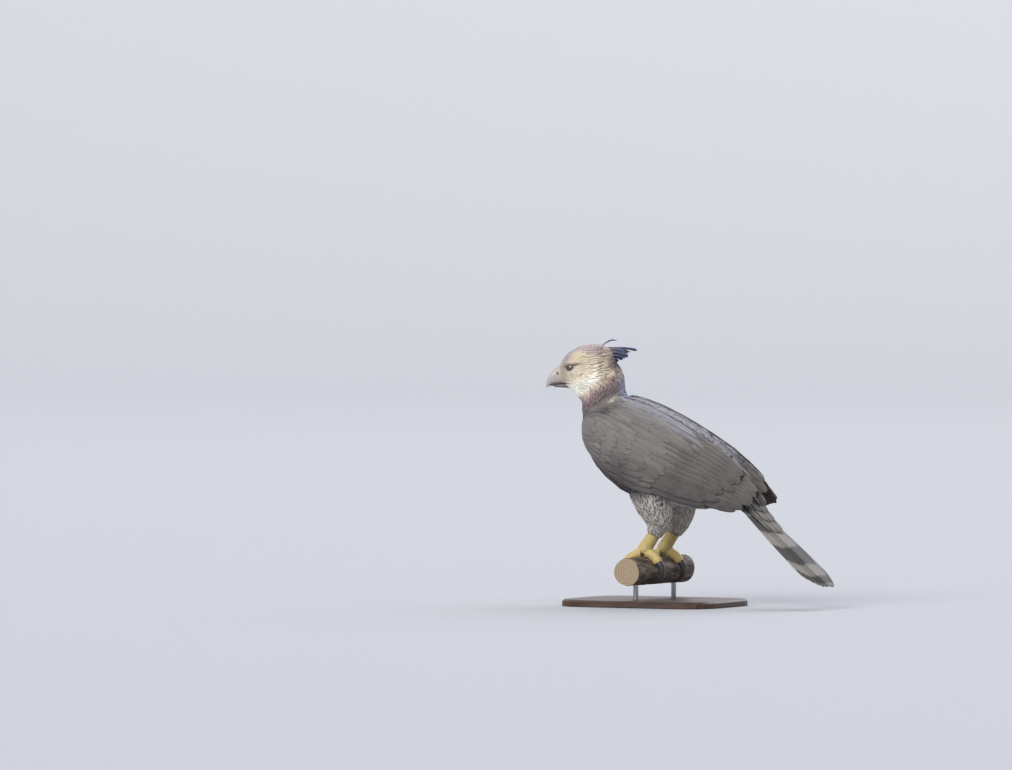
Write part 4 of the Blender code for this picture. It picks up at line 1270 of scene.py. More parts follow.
def make_mantle():
    """The feathers of the back, row over row between the wings from the rump to the neck."""
    rng = np.random.default_rng(63)
    shares, widths = profile(SHORT_WIDTHS)
    edge_x, edge_z = np.array(WING_STATIONS)[:, (0, 2)].T

    def back(x, y):
        edge = np.interp(x, edge_x, edge_z)
        crown = (np.interp(x, *BACK_LINE.T) + edge) / 2 - 0.78 * np.maximum(x - 195, 0)
        beyond = np.maximum(np.abs(y) - 25, 0)
        return crown + (edge + 1 - crown) * np.minimum(np.abs(y) / 25, 1) ** 2 - 0.06 * beyond**2

    step = 5.0
    xs, ys = np.arange(-115, 286, step), np.arange(-75, 76, step)
    field = back(xs[:, None], ys[None])
    wings = [tree_of(bpy.data.objects[name]) for name in ("coverts_left", "coverts_right")]
    for i, x in enumerate(xs):
        for j, y in enumerate(ys):
            for wing in wings:
                hit = wing.ray_cast(Vector((x, y, 620)) * MM, Vector((0, 0, -1)))[0]
                if hit:
                    field[i, j] = max(field[i, j], hit.z / MM)
    for _ in range(2):
        field[1:-1] = (field[:-2] + 2 * field[1:-1] + field[2:]) / 4
        field[:, 1:-1] = (field[:, :-2] + 2 * field[:, 1:-1] + field[:, 2:]) / 4

    def top(x, y):
        u, v = (x - xs[0]) / step, (y - ys[0]) / step
        i, j = np.clip(u.astype(int), 0, len(xs) - 2), np.clip(v.astype(int), 0, len(ys) - 2)
        s, t = u - i, v - j
        near = field[i, j] * (1 - t) + field[i, j + 1] * t
        return near * (1 - s) + (field[i + 1, j] * (1 - t) + field[i + 1, j + 1] * t) * s

    lines, overs, halves = [], [], []
    for row, start in enumerate(np.arange(240, -96, -MANTLE_ROWS)):
        spread = np.interp(start, (-60, 40, 150, 240), (5, 4, 3, 3))
        for i in range(int(-spread), int(spread) + 1):
            across = (i + 0.5 * (row % 2) - 0.25) * MANTLE_PITCH + rng.normal(0, 1.0)
            reach = rng.uniform(40, 47)
            x, y = start + reach * shares, across * (1 + 0.08 * shares)
            rise = np.interp(abs(across), (15, 42), (4.5, 2.5))
            line = np.stack([x, y, top(x, y) - 4.5 + rise * shares**0.8], axis=1)
            lines.append(line * MM)
            slope = (top(x + 2, y) - top(x - 2, y)) / 4, (top(x, y + 2) - top(x, y - 2)) / 4
            overs.append(np.stack([-slope[0], -slope[1], np.ones_like(x)], axis=1))
            halves.append(MANTLE_HALF_WIDTH * widths * rng.uniform(0.94, 1.05, len(widths)))
    lines, overs = np.array(lines), unit(np.array(overs))
    roots = lines[:, 0]
    shade = plumage(lines, np.full(lines.shape[:2], WING)) * rng.normal(1, 0.05, (len(roots), 1, 1))
    vanes = Vanes()
    vanes.add(lines, overs, np.array(halves), np.clip(shade, 0.01, 0.9), np.stack(
        [0.1 + 0.8 * (roots[:, 0] + 0.12) / 0.35, 0.5 + roots[:, 1] * 8], axis=1),
        camber=0.12, thick=0.0006, roll=rng.normal(0, 0.05, len(roots)), wide=True)
    return vanes.make("mantle")


# Tail

TAIL_WIDTHS = (
    (0.0, 0.40), (0.08, 0.62), (0.2, 0.80), (0.35, 0.92), (0.5, 1.0), (0.65, 1.0), (0.8, 0.98),
    (0.9, 0.90), (0.96, 0.70), (0.99, 0.42),
)
TAIL_HALF_WIDTH = 0.0235
TAIL_LAYER = 0.0015
# The coverts' rows over the tail's root and under it: start, reach, level and, over it, colour
TAIL_COVERTS = (
    (0.030, 0.190, 0.0045, (120, 115, 112)), (0.015, 0.155, 0.0085, (124, 119, 116)),
    (0.000, 0.125, 0.0120, (126, 121, 118)), (-0.015, 0.095, 0.0150, (126, 121, 118)),
    (-0.032, 0.070, 0.0175, (128, 123, 120)), (-0.050, 0.045, 0.0190, (128, 123, 120)),
)
UNDER_TAIL_COVERTS = ((0.02, 0.170, -0.024), (0.0, 0.135, -0.027), (-0.02, 0.10, -0.030))


def tail_row(vanes, rows, widths, colour, rng, camber=0.08, sign=1):
    """Adds tail feathers given as (start, length, root across, tip across, level, rise, half width)."""
    shares, halves = profile(widths)
    over = (tail_place(0, 0, 1) - TAIL_ROOT) * sign
    base = np.broadcast_to(colour * BODY_TONE, (len(shares), 3))
    feathers = []
    for i, (start, length, root, tip, level, rise, half) in enumerate(rows):
        line = [tail_place(start + (length - start) * t, root + (tip - root) * t, level + rise * t)
                for t in shares]
        half = half * halves * rng.uniform(0.97, 1.03, len(halves))
        feathers.append((line, over, half, toned(base, 0.04, rng), ((i + 0.5) / len(rows), 0.5)))
    vanes.add_wide(feathers, camber=camber, thick=0.0008, patch=(0.8 / len(rows), 0.9))


def make_tail():
    """Twelve long tail feathers, and the coverts over and under their roots."""
    rng = np.random.default_rng(9)
    long_ones = Vanes()
    feathers = []
    for k in range(6):
        for side in SIDES:
            layer = (2 * k + (side > 0)) if k < 2 else k + 2
            length = TAIL_LENGTH - 0.004 * k * k * 0.35
            feathers.append((0.055, length, side * (0.003 + 0.0045 * k), side * (0.006 + 0.0095 * k),
                             0.001 - TAIL_LAYER * layer, 0.0, TAIL_HALF_WIDTH))
    tail_row(long_ones, feathers, TAIL_WIDTHS, linear(152, 147, 143), rng)
    tail = long_ones.make("tail_feathers")
    over, under = Vanes(), Vanes()
    for start, reach, level, tone in TAIL_COVERTS:
        feathers = []
        for i, k in enumerate(np.linspace(-1, 1, 8)):
            across = 0.031 * k
            drop = 0.004 * k * k
            length = reach - 0.012 * k * k + rng.normal(0, 0.003)
            feathers.append((start, length, across * 0.85, across * 1.05,
                             level - drop + 0.0012 * (i % 2), -0.2 * drop, 0.0105))
        tail_row(over, feathers, SHORT_WIDTHS, linear(*tone), rng, 0.2)
    for start, reach, level in UNDER_TAIL_COVERTS:
        feathers = [(start, reach - 0.015 * k * k, 0.0252 * k, 0.027 * k, level + 0.005 * k * k, 0.010, 0.011)
                    for k in np.linspace(-1, 1, 7)]
        tail_row(under, feathers, SHORT_WIDTHS, linear(196, 190, 182), rng, 0.25, -1)
    return tail, over.make("tail_coverts_upper"), under.make("tail_coverts_under")


# Crest and ruff

# Count, root forward and up, tip forward and up, half spread at root and tip, half width
CREST_ROWS = (
    (2, 6, 608, -91, 606, 3, 3, 3.2),
    (2, 10, 606, -41, 628, 1.5, 4, 2.4),
    (5, 0, 605, -60, 602, 11, 15, 5.2),
    (6, -6, 600, -66, 596, 15, 20, 6.0),
    (6, -12, 592, -62, 588, 18, 24, 6.0),
    (5, -14, 586, -55, 584, 16, 22, 5.6),
    (4, -18, 578, -40, 573, 10, 14, 5.0),
)
CREST_WIDTHS = ((0.0, 0.45), (0.15, 0.70), (0.35, 0.92), (0.6, 1.0), (0.8, 0.96), (0.92, 0.78), (0.98, 0.46))


def make_crest():
    """The long dark feathers of the hind crown, row over row."""
    rng = np.random.default_rng(21)
    shares, halves = profile(CREST_WIDTHS)
    feathers = []
    for count, root_f, root_up, tip_f, tip_up, root_spread, tip_spread, half in CREST_ROWS:
        for i in range(count):
            k = 2 * i / (count - 1) - 1
            vary = rng.normal(0, 1.6)
            step = rng.normal(0, 1.2)
            root = np.array([root_f, root_spread * k, root_up - 5 * k * k])
            tip = np.array([tip_f + 7 * k * k + vary, tip_spread * k, tip_up - 6 * k * k + step])
            bend = np.array([0.45 * root_f + 0.55 * tip_f, tip_spread * k, max(root_up, tip_up) + 2])
            t = shares[:, None]
            line = head_place((root * (1 - t) ** 2 + bend * 2 * t * (1 - t) + tip * t * t) * MM)
            over = np.broadcast_to(head_place(np.array([0, 0.2 + 0.9 * k, 1])) - NECK_AXIS, line.shape)
            widths = half * MM * halves * rng.uniform(0.9, 1.08, len(halves))
            # Dark crest feathers, blued towards their tips by painted sheen
            dark = toned(mix(linear(112, 98, 104), linear(50, 60, 94), fade(0.15, 0.6, shares)), 0.08, rng)
            bake = (0.1 + 0.8 * rng.uniform(), 0.1 + 0.8 * (root_up - 570) / 45)
            feathers.append((line, over, widths, dark, bake))
    vanes = Vanes()
    vanes.add_wide(feathers, camber=0.16, thick=0.0006, roll=rng.normal(0, 0.07, len(feathers)))
    return vanes.make("crest")


# Each row of the ruff: start as a share of the head's length, rise in millimetres and reach
RUFF_ROWS = ((0.50, 3.0, 0.14), (0.45, 3.4, 0.15), (0.39, 3.9, 0.17), (0.33, 4.4, 0.18))
RUFF_COUNT = 25
RUFF_HALF_WIDTH = 0.0046


def make_ruff():
    """The raised feathers along the hood's rear edge, in four rows a side."""
    rng = np.random.default_rng(27)
    shares, halves = profile(SHORT_WIDTHS)
    feathers = []
    for side in SIDES:
        for row, (start, rise, reach) in enumerate(RUFF_ROWS):
            for i in range(RUFF_COUNT):
                turn = (i + 0.5 * (row % 2) + rng.uniform(-0.3, 0.3)) / RUFF_COUNT
                angle = math.radians(22 + 96 * turn)
                begin = start + rng.uniform(-0.03, 0.03)
                line, over = [], []
                for t in shares:
                    share = begin - reach * t
                    skin = rib_point(HEAD_RIBS, share, angle * side, HEAD_SQUARENESS)
                    back = rib_point(HEAD_RIBS, share, 0, HEAD_SQUARENESS)
                    front = rib_point(HEAD_RIBS, share, math.pi, HEAD_SQUARENESS)
                    out = unit(skin - (back + front) / 2)
                    line.append(head_place(skin + out * (-3.0 + rise * t**1.5) * MM))
                    over.append(head_place(out) - NECK_AXIS)
                widths = RUFF_HALF_WIDTH * halves * rng.uniform(0.9, 1.1, len(halves))
                base = plumage(np.array(line), np.full(len(line), HEAD))
                # Tips of the second row darker: painted shade along the facial disc's rim
                base = toned(mix(base, base * 0.85, fade(0.5, 1.0, shares) * (row == 1)), 0.06, rng)
                bake = (0.5 + 0.4 * side * (i + 1) / RUFF_COUNT, 0.15 + 0.2 * row)
                feathers.append((line, over, widths, base, bake))
    vanes = Vanes()
    vanes.add_wide(feathers, camber=0.04, thick=0.0002, roll=rng.normal(0.03, 0.01, len(feathers)))
    return vanes.make("ruff")


# Bill, eyes and mouth


def shaped_tube(name, path, radii, segments, rings, upward=(0, 0, 1)):
    """A closed tube along a path of points that never runs along its upward direction."""
    path = np.asarray(path, float)
    radii = np.asarray(radii, float)
    steps = np.linspace(0, 1, len(path))

    def at(share):
        return np.array([np.interp(share, steps, path[:, i]) for i in range(3)])

    def put(share, angle, pole):
        if pole:
            return at(1.0 if pole > 0 else 0.0)
        along = unit(at(share + 0.02) - at(share - 0.02))
        across = unit(np.cross(along, upward))
        over = np.cross(across, along)
        radius = np.interp(share, steps, radii)
        return at(share) + radius * (across * math.cos(angle) + over * math.sin(angle))

    return shaped_ball(name, segments, rings, put)


def cut_by(obj, place, direction):
    """Keeps the part of a closed piece that lies on the direction's side of a plane."""
    with all_in_edit_mode(obj):
        bpy.ops.mesh.bisect(plane_co=place, plane_no=direction, use_fill=True, clear_inner=True)
    return obj


def bill_parts():
    """The hooked upper bill, the cere behind it and the lower bill."""
    top, foot = (head_place(np.array([f, 0, up]) * MM) for f, up in CERE_CUT)
    forward = unit(np.cross(top - foot, HEAD_RIGHT))
    if np.dot(forward, HEAD_FORWARD) < 0:
        forward = -forward
    upper, cere = (ribbed_ball(name, BILL_RIBS, BILL_ENDS, 64, 72, head_place, BILL_SQUARENESS)
                   for name in ("beak_upper_shell", "cere_skin"))
    lower = ribbed_ball("beak_lower_shell", JAW_RIBS, JAW_ENDS, 48, 40, head_place, BILL_SQUARENESS)
    cut_by(upper, top, forward)
    cut_by(cere, top, -forward)
    points = points_of(cere)
    f, r, up = np.moveaxis(in_head(points), -1, 0)
    nf, nup = NOSTRIL
    slit, wide = 0.45 * (f - nf) + 0.9 * (up - nup), 0.9 * (f - nf) - 0.45 * (up - nup)
    dent = np.exp(-((slit / 3.8) ** 2) - (wide / 1.9) ** 2) * fade(5, 8, np.abs(r))
    points = points - HEAD_RIGHT * (np.sign(r) * 2.6 * dent * MM)[:, None]
    set_points(cere, points + normals_of(cere) * (0.0005 * (1 - dent))[:, None])
    # The dent's depth, which the cere's finish darkens as painted shade of the nostril's opening
    keep(cere.data, "Nostril", "FLOAT", dent.astype(np.float32))
    return upper, cere, lower


def make_eye(side):
    """One eyeball with its own map for iris and pupil: u runs from its front to its back."""
    _, _, up, out = eye_frame(side)
    centre = eye_centre(side)
    gaze = unit(out + 0.18 * HEAD_FORWARD)
    across = unit(np.cross(up, gaze))
    over = np.cross(gaze, across)
    deselect()
    bpy.ops.mesh.primitive_uv_sphere_add(segments=64, ring_count=48, radius=1)
    eye = bpy.context.object
    eye.name = eye.data.name = "eyeball"
    local = points_of(eye)
    bulge = 1 + 0.05 * np.exp(-((np.arccos(np.clip(local[:, 2], -1, 1)) / 0.5) ** 2))
    set_points(eye, centre + EYE_RADIUS * 0.995 * bulge[:, None] * (
        local[:, 0:1] * across + local[:, 1:2] * over + local[:, 2:3] * gaze))
    layer = eye.data.uv_layers[0]
    layer.name = "Gaze"
    corners = read(eye.data.loops, "vertex_index", 1, np.int32)
    polar = np.arccos(np.clip(local[corners, 2], -1, 1)) / math.pi
    turn = np.arctan2(local[corners, 1], local[corners, 0]) / (2 * math.pi) + 0.5
    layer.data.foreach_set("uv", np.stack([polar, turn], axis=1).ravel())
    outward_faces(eye)
    return eye


def make_lids(side):
    """The bare rim of the lids, an almond ring that hugs the eyeball."""
    _, along, up, out = eye_frame(side)
    centre = eye_centre(side)
    deselect()
    bpy.ops.mesh.primitive_torus_add(major_segments=64, minor_segments=14, major_radius=1, minor_radius=0.25)
    lids = bpy.context.object
    lids.name = "lids"
    moved = []
    for x, y, z in points_of(lids):
        turn = math.atan2(y, x)
        off, height = math.hypot(x, y) - 1, z
        c, s = math.cos(turn), math.sin(turn)
        lid = 0.0050 if s > 0 else 0.0062
        flat = along * c * 0.0088 + up * (s * lid * (1 - 0.25 * c * c) - 0.0009 * c)
        depth = math.sqrt(max(EYE_RADIUS**2 - np.dot(flat, flat), 0))
        base = centre + flat + out * depth
        away = unit(flat)
        width = 0.0048 if s > 0.2 else 0.0036
        moved.append(base + away * (off * width + 0.0004) + out * (height * 0.0048 + 0.0002))
    set_points(lids, moved)
    outward_faces(lids)
    return lids


def make_mouth():
    """The mouth between the bills and the gape's line back below each eye, dark with painted shade in the
    crack between the bills.
    """
    parts = [ribbed_ball("mouth", MOUTH_RIBS, MOUTH_ENDS, 32, 24, head_place)]
    for side in SIDES:
        path = [head_skin(share, height, side) for share, height in (
            (0.99, 522.8), (0.93, 523), (0.87, 523.2), (0.80, 523), (0.73, 522.3))]
        path = [point + unit(point - head_place((0.07, 0, 0.55))) * 0.0004 for point in path]
        parts.append(shaped_tube("mouth", path, (0.0006, 0.0010, 0.0010, 0.0008, 0.0003), 14, 30))
    return joined(parts)


# Feet, branch and stand


# The bare leg's places in millimetres: x, z and radius
TARSUS = (
    (50, 214, 16), (44, 204, 16.5), (34, 186, 15.5), (20, 164, 14.5), (7, 146, 15.5), (0, 134, 17.5),
    (-2, 126, 15),
)
# Each toe: angles off the branch's top at root and tip, splay, radius, and its claw's turn and radius
TOES = {
    "inner": (8, 78, -0.030, 0.0105, 62, 0.0080),
    "middle": (8, 92, 0.0, 0.0105, 58, 0.0075),
    "outer": (8, 74, 0.028, 0.0095, 52, 0.0070),
    "hind": (-8, -66, -0.006, 0.0115, -84, 0.0090),
}
TOE_SWELL = (1.05, 1.02, 0.94, 1.0, 0.90, 0.95, 0.78)
UPRIGHT = (0, 1, 0)


def round_branch(angle, reach, y):
    """Points round the branch at angles off its top, forward positive, with their outward ways."""
    out = np.stack([-np.sin(angle), 0 * angle, np.cos(angle)], axis=1)
    return out * reach[:, None] + np.stack([0 * y, y, 0 * y + PERCH_CENTRE], axis=1), out


def toe_line(side, name):
    """A toe's middle line, its radii and the ways that its top faces, then its claw's line and radii."""
    start, stop, splay, radius, turn, claw_radius = TOES[name]
    splay = 0 if name == "middle" else splay * -side
    shares = np.linspace(0, 1, 48)
    line, tops = round_branch(
        np.radians(start + (stop - start) * shares), PERCH_RADIUS + radius * (0.85 - 0.1 * shares),
        FOOT_OFFSET * side + splay * (0.35 + 0.65 * shares))
    radii = radius * np.interp(shares, np.linspace(0, 1, 7), TOE_SWELL)
    lift = radius * 0.75 + 0.007 * np.sin(math.pi * np.minimum(1, shares * 1.1))
    lift = lift * (1 - shares) + 0.0022 * shares + 0.004 * np.sin(math.pi * shares)
    claw, _ = round_branch(
        np.radians(stop - math.copysign(6, turn) + turn * shares), PERCH_RADIUS + lift,
        FOOT_OFFSET * side + splay * (1 + 0.25 * shares))
    return line, radii, tops, claw, claw_radius * (1 - shares) ** 0.75 + 0.0006


def raise_scutes(obj, lines):
    """Raises wide plates down the leg's front and over the toes, and small scales elsewhere."""
    points, normals = points_of(obj), normals_of(obj)
    best, height = np.full(len(points), 1.0), np.zeros(len(points))
    for line, radii, tops, pitch in lines:
        gaps = np.linalg.norm(points[:, None] - line[None], axis=-1)
        nearest = gaps.argmin(axis=1)
        beside = gaps[np.arange(len(points)), nearest] - radii[nearest]
        along = unit(np.gradient(line, axis=0))[nearest]
        top = tops[nearest]
        away = points - line[nearest]
        passed = np.concatenate([[0], np.cumsum(np.linalg.norm(np.diff(line, axis=0), axis=1))])
        run = (passed[nearest] + np.sum(away * along, axis=1)) / MM
        turn = np.arctan2(np.sum(away * np.cross(along, top), axis=1), np.sum(away * top, axis=1))
        wide = 1 - np.abs(2 * (run / pitch % 1) - 1) ** 5
        row = np.floor(run / 3.0)
        cell = (turn * radii[nearest] / MM / 3.4 + 0.5 * (row % 2)) % 1
        small = (1 - np.abs(2 * (run / 3.0 % 1) - 1) ** 3) * (1 - np.abs(2 * cell - 1) ** 3)
        plate = wide * fade(1.05, 0.85, np.abs(turn)) + 0.7 * small * fade(0.95, 1.15, np.abs(turn))
        closer = beside < best
        best = np.where(closer, beside, best)
        height = np.where(closer, plate, height)
    set_points(obj, points + normals * (0.0007 * height)[:, None])
    keep(obj.data, "Plate", "FLOAT", height.astype(np.float32))


def make_foot(side):
    """The bare leg and toes of one side as one skin with scutes, and its four claws."""
    leg = np.array([(x, FOOT_OFFSET / MM * side, z) for x, z, _ in TARSUS]) * MM
    steps = np.linspace(0, 1, len(TARSUS))
    shares = np.linspace(0, 1, 60)
    line = np.stack([np.interp(shares, steps, leg[:, i]) for i in range(3)], axis=1)
    radii = np.interp(shares, steps, [row[2] * MM for row in TARSUS])
    tops = np.broadcast_to(unit([-0.85, 0, 0.53]), line.shape)
    tubes, claws = [shaped_tube("leg", line, radii, 40, 50, UPRIGHT)], []
    lines = [(line, radii, tops, 6.4)]
    for name in TOES:
        line, radii, tops, claw, claw_radii = toe_line(side, name)
        tubes.append(shaped_tube("toe", line, radii, 32, 60, UPRIGHT))
        claws.append(shaped_tube("claw", claw, claw_radii, 28, 56, UPRIGHT))
        lines.append((line, radii, tops, 4.6))
    foot = remeshed(joined(tubes), FOOT_VOXEL, 5)
    raise_scutes(foot, lines)
    return foot, joined(claws)


def make_perch():
    """The cut branch: furrowed bark drawn in from the solid's radius, and sawn ends."""
    caps = 0.06

    def put(share, angle, pole):
        end = PERCH_LENGTH / 2
        if pole:
            return np.array([0, end * pole, PERCH_CENTRE])
        y = np.interp(share, [caps, 1 - caps], [-end, end])
        inner = min(1.0, (share if share < 0.5 else 1 - share) / caps)
        uneven = 1 + 0.025 * math.sin(3 * angle + y * 40) * (abs(y) > 0.085)
        radius = PERCH_RADIUS * uneven * inner
        return np.array([radius * math.sin(angle), y, PERCH_CENTRE + radius * math.cos(angle)])

    perch = shaped_ball("branch", 160, 190, put)
    points, normals = points_of(perch), normals_of(perch)
    away = np.stack([points[:, 0], points[:, 1] * 0.22, points[:, 2] - PERCH_CENTRE], axis=1)
    ridges = ripple(away, 0.011, 61) * 0.6 + ripple(away, 0.005, 62) * 0.35
    furrow = (0.0006 + 0.0007 * np.clip(ridges, -1, 1)) * (np.abs(normals[:, 1]) < 0.5)
    set_points(perch, points - normals * np.maximum(furrow, 0)[:, None])
    return perch


# Operators, one for each piece or group of like pieces


def shade_property(name, description, *screen):
    """A colour that a user can change, with its screen values at the start."""
    return bpy.props.FloatVectorProperty(
        name=name, description=description, subtype="COLOR", default=tuple(linear(*screen)), min=0, max=1)


class CoatColours(bpy.types.PropertyGroup):
    """Colours and sizes that a user would change."""

    cere: shade_property("Cere", "Bare skin at the base of the bill", 166, 157, 150)
    horn: shade_property("Horn", "Bill behind its darker tip", 160, 155, 151)
    iris: shade_property("Iris", "Iris of the eyes", 98, 77, 63)
    leg: shade_property("Leg skin", "Bare legs and toes", 190, 168, 106)
    tail_bars: bpy.props.FloatProperty(
        name="Tail bars", description="Dark bars along a tail feather", default=4.2, min=1, max=8)


class StageSizes(bpy.types.PropertyGroup):
    """The camera's lens and distance, and the size of the floor."""

    lens: bpy.props.FloatProperty(
        name="Lens", description="Focal length of the camera", subtype="DISTANCE_CAMERA", default=300.0)
    width: bpy.props.FloatProperty(
        name="Width seen", description="Width of the picture at the bird", unit="LENGTH", default=2.378)
    azimuth: bpy.props.FloatProperty(
        name="Azimuth", description="Way that the camera looks", subtype="ANGLE", default=math.radians(28))
    elevation: bpy.props.FloatProperty(
        name="Elevation", description="Height of the camera's view", subtype="ANGLE", default=math.radians(1))
    floor: bpy.props.FloatProperty(
        name="Floor radius", description="Radius of the floor's level part", unit="LENGTH", default=26.0)


def chosen():
    return bpy.context.scene.eagle_colours


class EAGLE_OT_skin(bpy.types.Operator):
    """Builds the one skin under the coat"""

    bl_idname = "eagle.skin"
    bl_label = "Skin"

    def execute(self, context):
        skin = make_skin()
        finished(skin, "skin", "body_feathers", "head", "neck", "torso", "thigh_left", "thigh_right",
                 material=feather_skin_finish())
        return {"FINISHED"}


class EAGLE_OT_bill(bpy.types.Operator):
    """Models the upper bill, the cere with its nostrils, the lower bill and the mouth's line"""

    bl_idname = "eagle.bill"
    bl_label = "Bill"

    def execute(self, context):
        upper, cere, lower = bill_parts()
        horn = horn_finish("bill_horn", chosen().horn, linear(160, 157, 157), 0.2360)
        finished(upper, "bill_upper", "horn", "beak_upper", material=horn)
        horn = horn_finish("lower_bill_horn", linear(104, 99, 98), linear(84, 80, 80), 0.2200)
        finished(lower, "bill_lower", "horn", "beak_lower", material=horn)
        # Dark in each nostril's dent: painted shade of the nostril's opening
        skin = surface_finish("cere_finish", ((0.3, chosen().cere), (0.7, np.array(chosen().cere) * 0.88)),
                              0.45, 420, 0.15, 0.0004, marks=("Nostril", linear(46, 40, 38), 0.7, 0.3))
        finished(cere, "cere_piece", "cere", "cere", material=skin)
        # The mouth and gape line kept dark: the gape is real, its darkness partly painted shade between the
        # bills
        dark = surface_finish("mouth_finish", ((0.3, linear(58, 50, 46)), (0.7, linear(76, 66, 60))),
                              0.55, 500, 0.2, 0.0003)
        finished(make_mouth(), "mouth_line", "cere", material=dark)
        return {"FINISHED"}


class EAGLE_OT_eyes(bpy.types.Operator):
    """Models the eyeballs and the bare rims of their lids"""

    bl_idname = "eagle.eyes"
    bl_label = "Eyes"

    def execute(self, context):
        material = eye_finish()
        rim = surface_finish(
            "lid_skin", ((0.3, linear(58, 52, 51)), (0.7, linear(82, 74, 71))), 0.5, 700, 0.3, 0.0003)
        for side, word in SIDE_WORDS:
            finished(make_eye(side), "eyeball_" + word, "eye", "eye_" + word, material=material)
            finished(make_lids(side), "lids_" + word, "head_feathers", material=rim)
        return {"FINISHED"}


class EAGLE_OT_coat(bpy.types.Operator):
    """Lays the small feathers of face, hood, neck, trunk, thighs and wing edges"""

    bl_idname = "eagle.coat"
    bl_label = "Small feathers"

    def execute(self, context):
        if "skin" not in bpy.data.objects:
            raise RuntimeError("the skin comes before its coat")
        objects = bpy.data.objects
        bill = [tree_of(objects[name]) for name in ("bill_upper", "cere_piece", "bill_lower")]
        slots = {"face": "head_feathers", "hood": "head_feathers", "neck": "neck_feathers",
                 "trunk": "body_feathers", "thighs": "thigh_feathers", "wing_edge": "wing_feathers"}
        soft = feather_finish("small_feathers", rows=5, depth=0.2)
        for seed, (kind, slot) in enumerate(slots.items()):
            piece = make_coat(kind, 100 + 10 * seed, bill if kind == "face" else ())
            feathered(piece, slot, soft)
        return {"FINISHED"}


class EAGLE_OT_wings(bpy.types.Operator):
    """Lays the flight feathers and coverts of both folded wings"""

    bl_idname = "eagle.wings"
    bl_label = "Wings"

    def execute(self, context):
        flight = feather_finish("flight_feather", rows=46, shaft=0.35, edge=0.12, bars=(5.2, 0.22, 0.35))
        cover = feather_finish("covert_feather", rows=22, shaft=0.10, edge=0.16)
        for side, word in SIDE_WORDS:
            long_ones, short_ones = make_wing(side)
            feathered(long_ones, "wing_feathers", flight, "wing_" + word)
            feathered(short_ones, "wing_feathers", cover, "wing_" + word)
        feathered(make_mantle(), "wing_feathers", cover)
        return {"FINISHED"}


class EAGLE_OT_tail(bpy.types.Operator):
    """Lays the barred tail feathers and the coverts at their roots"""

    bl_idname = "eagle.tail"
    bl_label = "Tail"

    def execute(self, context):
        barred = feather_finish("tail_feather", rows=70, shaft=0.5, edge=0.12,
                                bars=(chosen().tail_bars, 0.92, 0.0))
        cover = feather_finish("tail_covert", rows=26, shaft=0.2, edge=0.3)
        tail, over, under = make_tail()
        feathered(tail, "tail_feathers", barred, "tail")
        feathered(over, "tail_feathers", cover)
        feathered(under, "tail_feathers", cover)
        return {"FINISHED"}


class EAGLE_OT_crest(bpy.types.Operator):
    """Lays the crest and the ruff at the hood's rear edge"""

    bl_idname = "eagle.crest"
    bl_label = "Crest and ruff"

    def execute(self, context):
        dark = feather_finish("crest_feather", rows=24, shaft=0.3, edge=0.10)
        feathered(make_crest(), "head_feathers", dark)
        soft = feather_finish("ruff_feather", rows=16, edge=0.08)
        feathered(make_ruff(), "head_feathers", soft)
        return {"FINISHED"}


class EAGLE_OT_feet(bpy.types.Operator):
    """Models the bare legs with their toes and the claws"""

    bl_idname = "eagle.feet"
    bl_label = "Legs, toes and claws"

    def execute(self, context):
        leg = np.array(chosen().leg)
        skin = surface_finish("leg_skin_finish", ((0.3, leg * 0.86), (0.7, leg)), 0.5, 420, 0.3, 0.0003,
                              marks=("Plate", leg * 0.55, 0.0, 0.5))
        horn = horn_finish("claw_horn", linear(52, 49, 50), linear(30, 28, 30), 0.02)
        for side, word in SIDE_WORDS:
            foot, claws = make_foot(side)
            toes = [f"toe_{word}_{name}" for name in ("inner", "middle", "outer", "hind")]
            finished(foot, "leg_" + word, "leg_skin", "tarsus_" + word, *toes, material=skin)
            nails = [name.replace("toe", "claw") for name in toes]
            finished(claws, "claws_" + word, "horn", *nails, material=horn)
        return {"FINISHED"}


class EAGLE_OT_branch(bpy.types.Operator):
    """Models the cut branch with its bark and sawn ends"""

    bl_idname = "eagle.branch"
    bl_label = "Branch"

    def execute(self, context):
        bark = surface_finish("bark_finish", ((0.3, linear(48, 40, 34)), (0.5, linear(92, 80, 70)),
                                              (0.7, linear(136, 127, 117))),
                              0.85, 90, 0.9, 0.002, stretch=(1, 0.25, 1))
        branch = finished(make_perch(), "branch", "bark", "perch", material=bark)
        branch.data.materials.append(sawn_finish())
        for face in branch.data.polygons:
            if abs(face.normal.y) > 0.9 and abs(face.center.y) > PERCH_LENGTH / 2 - 0.004:
                face.material_index = 1
        smooth_faces(branch, math.radians(40))
        return {"FINISHED"}


class EAGLE_OT_stand(bpy.types.Operator):
    """Finishes the base and rods of the display stand"""

    bl_idname = "eagle.stand"
    bl_label = "Stand"

    def execute(self, context):
        wood = surface_finish("stained_wood", ((0.3, linear(46, 32, 25)), (0.55, linear(68, 48, 36)),
                                               (0.8, linear(86, 62, 46))),
                              0.42, 26, 0.12, 0.0006, stretch=(0.5, 6, 6), detail=9, spread=(-0.05, 0.12))
        steel = surface_finish("brushed_steel", ((0.3, linear(148, 148, 150)), (0.7, linear(176, 176, 178))),
                               0.3, 300, 0.05, 0.0002, metallic=1.0, stretch=(1, 1, 0.1), spread=(-0.05, 0.1))
        for name, finish in (("stand_base", wood), ("stand_rod_left", steel), ("stand_rod_right", steel)):
            NODES[name].data.materials.clear()
            NODES[name].data.materials.append(finish)
        return {"FINISHED"}


class EAGLE_OT_stage(bpy.types.Operator):
    """Sets the floor, the soft lights and the camera"""

    bl_idname = "eagle.stage"
    bl_label = "Floor, lights and camera"

    def execute(self, context):
        make_stage(context.scene.eagle_stage)
        return {"FINISHED"}


# Stage


CAMERA_TARGET = (-0.309, -0.164, 0.519)
FLOOR_CURVE = 14.0
FLOOR_STEPS = 10


